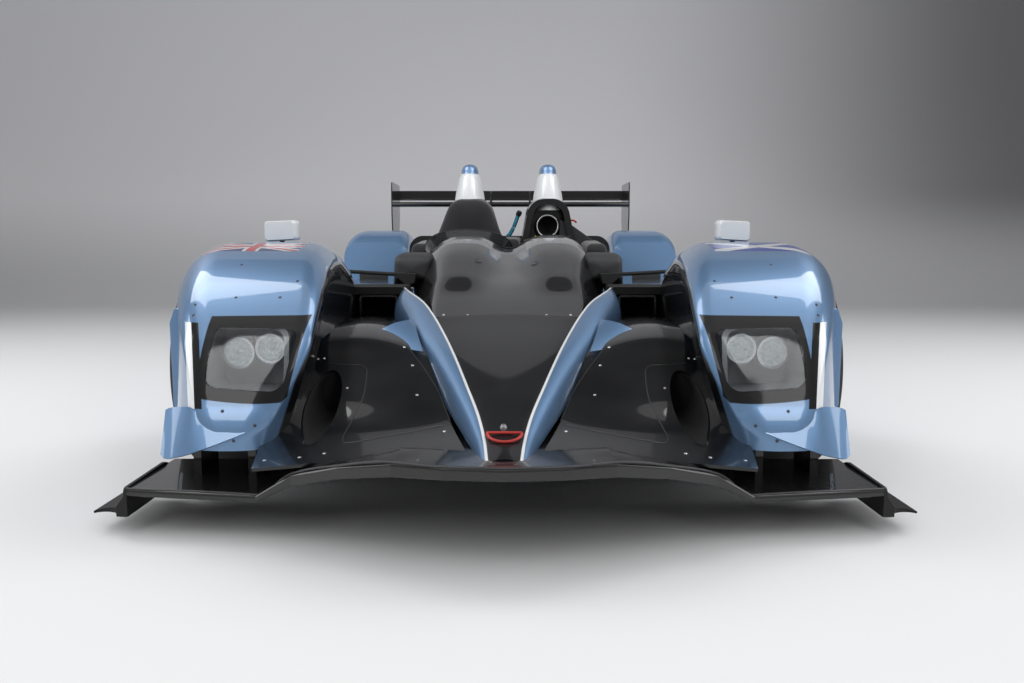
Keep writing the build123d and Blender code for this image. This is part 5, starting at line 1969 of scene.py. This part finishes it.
@dataclass
class NoseTrim:
    """Small pieces on the nose, the splitter, the pods and beside the cockpit.

    Rows of the splitter's edge: x, y, z. Rows of a dive plane: x, y and z of its high edge, y and z of its
    low edge. Rows of a lobe: y, bottom half, top half, low, high, round. Outlines are in X and Z, on the
    left side, and ends are in Y.
    """

    lead: Rows = (
        (0.000, -2.310, 0.240), (0.130, -2.294, 0.240), (0.242, -2.250, 0.238), (0.370, -2.178, 0.212),
        (0.490, -2.110, 0.176), (0.585, -2.070, 0.114), (0.910, -2.018, 0.114),
    )
    ring_place: Point = (0.040, -2.102, 0.2715)
    button: Outline = ((0, 0.006), (0.006, 0.005), (0.0085, 0.0), (0.0085, -0.004), (0, -0.004))
    button_place: Point = (-0.003, -2.066, 0.2780)
    dive: Rows = (
        (0.632, -1.974, 0.250, -1.978, 0.243), (0.690, -1.970, 0.262, -1.988, 0.221),
        (0.740, -1.962, 0.282, -1.993, 0.203), (0.775, -1.952, 0.303, -1.990, 0.191),
        (0.806, -1.938, 0.301, -1.982, 0.183), (0.832, -1.922, 0.295, -1.968, 0.177),
        (0.847, -1.912, 0.288, -1.956, 0.185),
    )
    blade: Outline = ((0.866, 0.258), (0.896, 0.262), (0.898, 0.490), (0.884, 0.530), (0.868, 0.530))
    blade_round: Tuple[float, ...] = (0.006, 0.012, 0.020, 0.010, 0.004)
    blade_ends: Tuple[float, float] = (-1.742, -1.704)
    strip: Outline = ((0.866, 0.262), (0.873, 0.262), (0.875, 0.500), (0.868, 0.500))
    strip_ends: Tuple[float, float] = (-1.7445, -1.7400)
    fin_root: Tuple[Point, Point] = ((0.240, -1.560, 0.390), (0.295, -1.320, 0.462))
    fin_tip: Point = (0.406, -1.400, 0.425)
    lobe: Rows = (
        (-0.640, 0.070, 0.064, 0.560, 0.640, 0.020), (-0.560, 0.080, 0.074, 0.530, 0.660, 0.030),
        (-0.420, 0.082, 0.074, 0.520, 0.664, 0.034), (-0.200, 0.070, 0.050, 0.520, 0.650, 0.026),
    )
    lobe_x: float = 0.376
    recess_shade: Outline = ((0.446, 0.590), (0.352, 0.586), (0.362, 0.548), (0.392, 0.540))
    recess_ends: Tuple[float, float] = (-0.700, -0.610)
    bar: Tuple[Point, Point] = ((0.655, -0.640, 0.594), (0.385, -0.640, 0.578))
    leg: Tuple[Point, Point] = ((0.652, -0.640, 0.594), (0.652, -0.640, 0.520))
    duct_outer: Outline = ((0.372, 0.416), (0.592, 0.416), (0.592, 0.546), (0.372, 0.546))
    duct_inner: Outline = ((0.386, 0.430), (0.578, 0.430), (0.578, 0.520), (0.386, 0.520))
    duct_ends: Point = (-0.932, -0.712, -0.700)
    mirror: Outline = ((0.668, 0.712), (0.776, 0.706), (0.776, 0.772), (0.672, 0.776))
    mirror_rings: Rows = ((-1.262, 0.86), (-1.252, 0.96), (-1.232, 1.0), (-1.206, 1.0))
    glass_ends: Tuple[float, float] = (-1.2062, -1.2030)
    stalk: Tuple[Point, Point] = ((0.722, -1.235, 0.690), (0.722, -1.235, 0.722))
    vent: Outline = ((0.724, 0.447), (0.890, 0.445), (0.892, 0.520), (0.722, 0.523))

    @staticmethod
    def rod(name: str, ends: Tuple[Point, Point], side: int, radius: float, count: int = 8) -> None:
        """Straight dark bar.

        Args:
            name: the object's name.
            ends: its two ends, on the left side.
            side: 1 leaves it on the left, -1 mirrors it to the right.
            radius: its radius.
            count: rings along it.
        """
        path = mirrored(np.linspace(*ends, count), side)
        settle(tube(name, path, radius, 12), Coat.DARK)

    def build_edge(self) -> None:
        """Light bead along the splitter's upper front edge, through its table of points."""
        x = spread(self.lead, 110)
        y, z = columns(self.lead, x)
        half = points_of(x, y + 0.006, z + 0.0005)[:, 0]
        path = np.concatenate([mirrored(half[:0:-1], -1), half], axis=0)
        settle(tube("splitter_bead", path, 0.0030, 8), Coat.STEEL)

    def build_hook(self) -> None:
        """Red towing ring that lies on the nose, and the button above it."""
        radius, y, z = self.ring_place
        turn = np.linspace(math.pi, 2 * math.pi, 30)
        arc = points_of(radius * np.cos(turn), y + 0.042 * np.sin(turn), z + 0.0112 * np.sin(turn))
        path = np.concatenate([arc, [[0.0, y + 0.001, z + 0.0003], [-radius, y, z]]], axis=0)
        settle(tube("towing_ring", path, 0.0034, 8), Coat.PULL)
        button = turned("nose_button", self.button, self.button_place, (0, -0.257, 0.966), 28)
        shade(button)
        settle(button, Coat.BRIGHT)

    def build_dive(self) -> None:
        """Dive planes: straight lines join a low, forward edge to a high edge that lies on the pod."""
        rows = np.array(self.dive)
        knots = np.linspace(0, 1, len(rows))
        x, y, high, fore, low = monotone(knots, rows, np.linspace(0, 1, 48)).T[:, :, None]
        rise = np.linspace(0, 1, 12)[None, :]
        grid = points_of(x, fore + (y - fore) * rise, low + (high - low) * rise)
        for side, tag in SIDES:
            plane = sheet("dive_plane_" + tag, mirrored(grid, side), 0.006, 40)
            settle(plane, Coat.BLUE, nodes=left_only(side, "dive_planes"))

    def build_skirts(self) -> None:
        """Upright blades beside the front wheels, each with a pale inner edge, and fins beside the nose."""
        for side, tag in SIDES:
            blade = block("skirt_blade_" + tag, self.blade, self.blade_round, self.blade_ends, side)
            settle(blade, Coat.BLUE, bevel=0.003)
            strip = block("skirt_edge_" + tag, self.strip, (0.002,), self.strip_ends, side)
            settle(strip, Coat.WHITE, bevel=0.0008)
            self.build_fin(side, tag)

    def build_fin(self, side: int, tag: str) -> None:
        """Fin beside the nose: straight lines from its root to its tip, twisted by a sine.

        Args:
            side: 1 for the left, -1 for the right.
            tag: the side's name.
        """
        along = np.linspace(0, 1, 30)[:, None]
        out = np.linspace(0, 1, 24)[None, :, None]
        root = np.linspace(*self.fin_root, 30)[:, None]
        grid = root * (1 - out) + np.array(self.fin_tip) * out
        grid[..., 2] += 0.010 * np.sin(math.pi * out[..., 0]) * (along - 0.5) * 2
        fin = sheet("deck_fin_" + tag, mirrored(grid, side), 0.004, 40, merge=1e-5)
        settle(fin, Coat.BLUE, nodes=left_only(side, "deck_canards"))

    def build_ears(self) -> None:
        """Rounded lobes beside the cockpit, each with a dark block that is painted shade for its recess, and
        the bar that enters it.
        """
        for side, tag in SIDES:
            lobe = lofted("cockpit_lobe_" + tag, self.lobe, side * self.lobe_x, 40, 0.024)
            settle(lobe, Coat.LOBE, nodes=left_only(side, "cockpit_ears"))
            # Painted shade: a solid dark block stands where the lobe's recess would be a shaded hollow.
            recess_shade = block("lobe_recess_" + tag, self.recess_shade, (0.004,), self.recess_ends, side)
            settle(recess_shade, Coat.DARK, bevel=0.002)
            self.rod("mirror_bar_" + tag, self.bar, side, 0.0075, 20)
            self.rod("bar_leg_" + tag, self.leg, side, 0.0065)

    def build_duct_frames(self) -> None:
        """Black frames round the square ducts beside the cockpit: outer wall, lip, inner wall and back."""
        lip, throat, back = self.duct_ends
        outer = outline(self.duct_outer, (0.010,) * 4, 5)
        inner = outline(self.duct_inner, (0.008,) * 4, 5)
        levels = ((outer, back), (outer, lip), (inner, lip), (inner, throat))
        for side, tag in SIDES:
            surround = closed("duct_frame_" + tag, nested(levels, side))
            shade(surround)
            settle(surround, Coat.WELL)

    def build_mirrors(self) -> None:
        """Mirrors on the pods: a rounded pale housing that narrows forwards, its glass and a stalk."""
        face = outline(self.mirror, (0.012,) * 4, 7)
        core = face.mean(axis=0)
        for side, tag in SIDES:
            levels = [(core + (face - core) * scale, y) for y, scale in self.mirror_rings]
            housing = closed("mirror_housing_" + tag, nested(levels, side))
            shade(housing, 40)
            settle(housing, Coat.WHITE, nodes=left_only(side, "mirrors"))
            pane = (core + (face - core) * 0.90) * [side, 1]
            settle(prism("mirror_glass_" + tag, pane, 1, *self.glass_ends), Coat.BRIGHT)
            self.rod("mirror_stalk_" + tag, self.stalk, side, 0.008)

    def build_vents(self) -> None:
        """Mesh vents low on the front faces of the rear pods."""
        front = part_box("rear_fender_left")[0][1]
        for side, tag in SIDES:
            vent = block("vent_mesh_" + tag, self.vent, (0.008,), (front - 0.0015, front + 0.004), side)
            settle(vent, Coat.MESH)

    def build(self) -> None:
        """Build the trim."""
        self.build_edge()
        self.build_hook()
        self.build_dive()
        self.build_skirts()
        self.build_ears()
        self.build_duct_frames()
        self.build_mirrors()
        self.build_vents()


@dataclass
class Studio:
    """Pale floor that curves up into a grey backdrop, soft lights and the camera.

    Lights: name, place, aim, size and watts. Each of the pairs also stands mirrored.
    """

    lens: float = 31.0
    sensor: float = 36.0
    eye: Point = (0.020, -4.082, 0.704)
    pitch: float = 83.596
    turn: float = 0.0016
    ceiling: float = 0.085
    haze: float = 0.80
    brightness: float = 0.42
    overhead: Tuple[Point, Point, Tuple[float, float], float] = (
        (0.0, -1.6, 6.0), (0.0, -1.2, 0.0), (12.0, 7.0), 165.0,
    )
    pairs: Tuple[Tuple[str, Point, Point, Tuple[float, float], float], ...] = (
        ("roof", (3.9, 1.2, 5.2), (1.0, -0.8, 0.0), (2.6, 4.0), 110.0),
        ("strip", (1.9, -5.0, 3.0), (0.7, -1.9, 0.4), (0.8, 3.0), 40.0),
        ("side", (5.6, -1.5, 2.2), (0.5, -0.6, 0.4), (3.2, 2.4), 70.0),
    )

    def build_camera(self) -> None:
        """Camera at the photograph's place."""
        data = bpy.data.cameras.new("camera")
        data.lens = self.lens
        data.sensor_width = self.sensor
        camera = bpy.data.objects.new("camera", data)
        camera.location = self.eye
        camera.rotation_euler = (math.radians(self.pitch), 0.0, self.turn)
        bpy.context.scene.collection.objects.link(camera)
        bpy.context.scene.camera = camera

    def build_backdrop(self) -> None:
        """One sheet: flat floor, a quarter turn of large radius, then an upright wall."""
        radius, wall_y, reach, top = 3.2, 9.0, 16.0, 9.0
        turn = np.linspace(0, math.pi / 2, 24)[1:]
        floor = np.linspace(-9.0, wall_y - radius, 12)
        y = np.concatenate([floor, wall_y - radius + radius * np.sin(turn), [wall_y]])
        z = np.concatenate([np.zeros(12), radius - radius * np.cos(turn), [top]])
        grid = points_of(np.linspace(-reach, reach, 24), y[:, None], z[:, None])
        floor = mesh_object("studio_floor", grid, quads(*grid.shape[:2]).tolist())
        shade(floor, 60)
        floor.data.materials.append(Backdrop().build())

    def build_world(self) -> None:
        """Even pale surroundings whose mirror image is dark overhead and behind, as a studio's ceiling is."""
        world = bpy.data.worlds.new("studio")
        shader = Shader(world)
        place = shader.add("ShaderNodeTexCoord", out="Generated")
        along = shader.add("ShaderNodeSeparateXYZ", values=(place,), out=1)
        front = shader.add("ShaderNodeMapRange", values=(along, 0.10, -0.25, 0.0, 1.0))
        ceiling = shader.colour(front, grey(self.ceiling), grey(self.haze))
        mirror = shader.add("ShaderNodeLightPath", out="Is Glossy Ray")
        seen = shader.colour(mirror, grey(self.haze), ceiling)
        background = shader.add("ShaderNodeBackground", values=(seen, self.brightness))
        shader.finish("ShaderNodeOutputWorld", background)
        bpy.context.scene.world = world

    def add_light(self, name: str, place: Point, aim: Point, size: Tuple[float, float], power: float) -> None:
        """One soft box.

        Args:
            name: its name.
            place: where it hangs.
            aim: what it points at.
            size: width and height.
            power: watts.
        """
        data = bpy.data.lights.new(name, "AREA")
        data.shape = "RECTANGLE"
        data.size, data.size_y = size
        data.energy = power
        light = bpy.data.objects.new(name, data)
        away = np.array(place) - np.array(aim)
        flat = math.hypot(away[0], away[1])
        light.location = place
        light.rotation_euler = (math.atan2(flat, away[2]), 0.0, math.atan2(away[1], away[0]) + math.pi / 2)
        bpy.context.scene.collection.objects.link(light)

    def build(self) -> None:
        """Build the studio."""
        bpy.context.scene.view_settings.view_transform = "Standard"
        self.build_world()
        self.build_camera()
        self.build_backdrop()
        self.add_light("overhead", *self.overhead)
        for name, place, aim, size, power in self.pairs:
            for side, tag in ((-1, "left"), (1, "right")):
                ends = (tuple(mirrored(np.array(point), side)) for point in (place, aim))
                self.add_light(f"{name}_{tag}", *ends, size, power)


@dataclass
class Chassis:
    """CAD nodes that keep their shape and only get a finish."""

    coats: Tuple[Tuple[str, Coat], ...] = (
        ("crash_structure", Coat.DULL_CARBON), ("dashboard", Coat.DULL_CARBON),
        ("diffuser", Coat.DULL_CARBON), ("engine_block", Coat.CAST),
        ("floor", Coat.DULL_CARBON), ("front_splitter", Coat.CARBON),
        ("gearbox", Coat.CAST), ("monocoque", Coat.DULL_CARBON), ("radiators", Coat.MESH),
        ("rear_fender_left", Coat.REAR), ("rear_fender_right", Coat.REAR),
        ("sidepod_left", Coat.FLANK), ("sidepod_right", Coat.FLANK), ("skid_block", Coat.WOOD),
        ("splitter_endplates", Coat.DULL_CARBON), ("steering_rack", Coat.STEEL), ("tail_lamps", Coat.RED),
        ("wing_endplates", Coat.CARBON), ("wing_planes", Coat.CARBON), ("wing_pylons", Coat.DULL_CARBON),
        ("front_wishbones", Coat.STEEL), ("rear_wishbones", Coat.STEEL), ("rear_uprights", Coat.CAST),
        ("knuckle_left", Coat.CAST), ("knuckle_right", Coat.CAST),
        ("driver_chair", Coat.DULL_CARBON), ("steering_wheel", Coat.SUEDE),
    )

    def build(self) -> None:
        """Dress the nodes, and the wheels with them."""
        for node, coat in self.coats:
            wear(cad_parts[node], coat)
        for end in ("front", "rear"):
            for _, tag in SIDES:
                wear(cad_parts[f"{end}_tyre_{tag}"], Coat.RUBBER)
                wear(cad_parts[f"{end}_rim_{tag}"], Coat.ALLOY)


def main() -> None:
    """Build every sub-assembly in order."""
    logging.basicConfig(level=logging.INFO, format="%(name)s: %(message)s")
    Studio().build()
    Chassis().build()
    for (side, tag), flag in zip(SIDES, (Flag.SALTIRE, Flag.CROSSES)):
        FrontPod(side, tag, flag).build()
        Deck(side, tag).build()
    Cowl().build()
    Cockpit().build()
    Nose().build()
    NoseTrim().build()


if __name__ == "__main__":
    main()
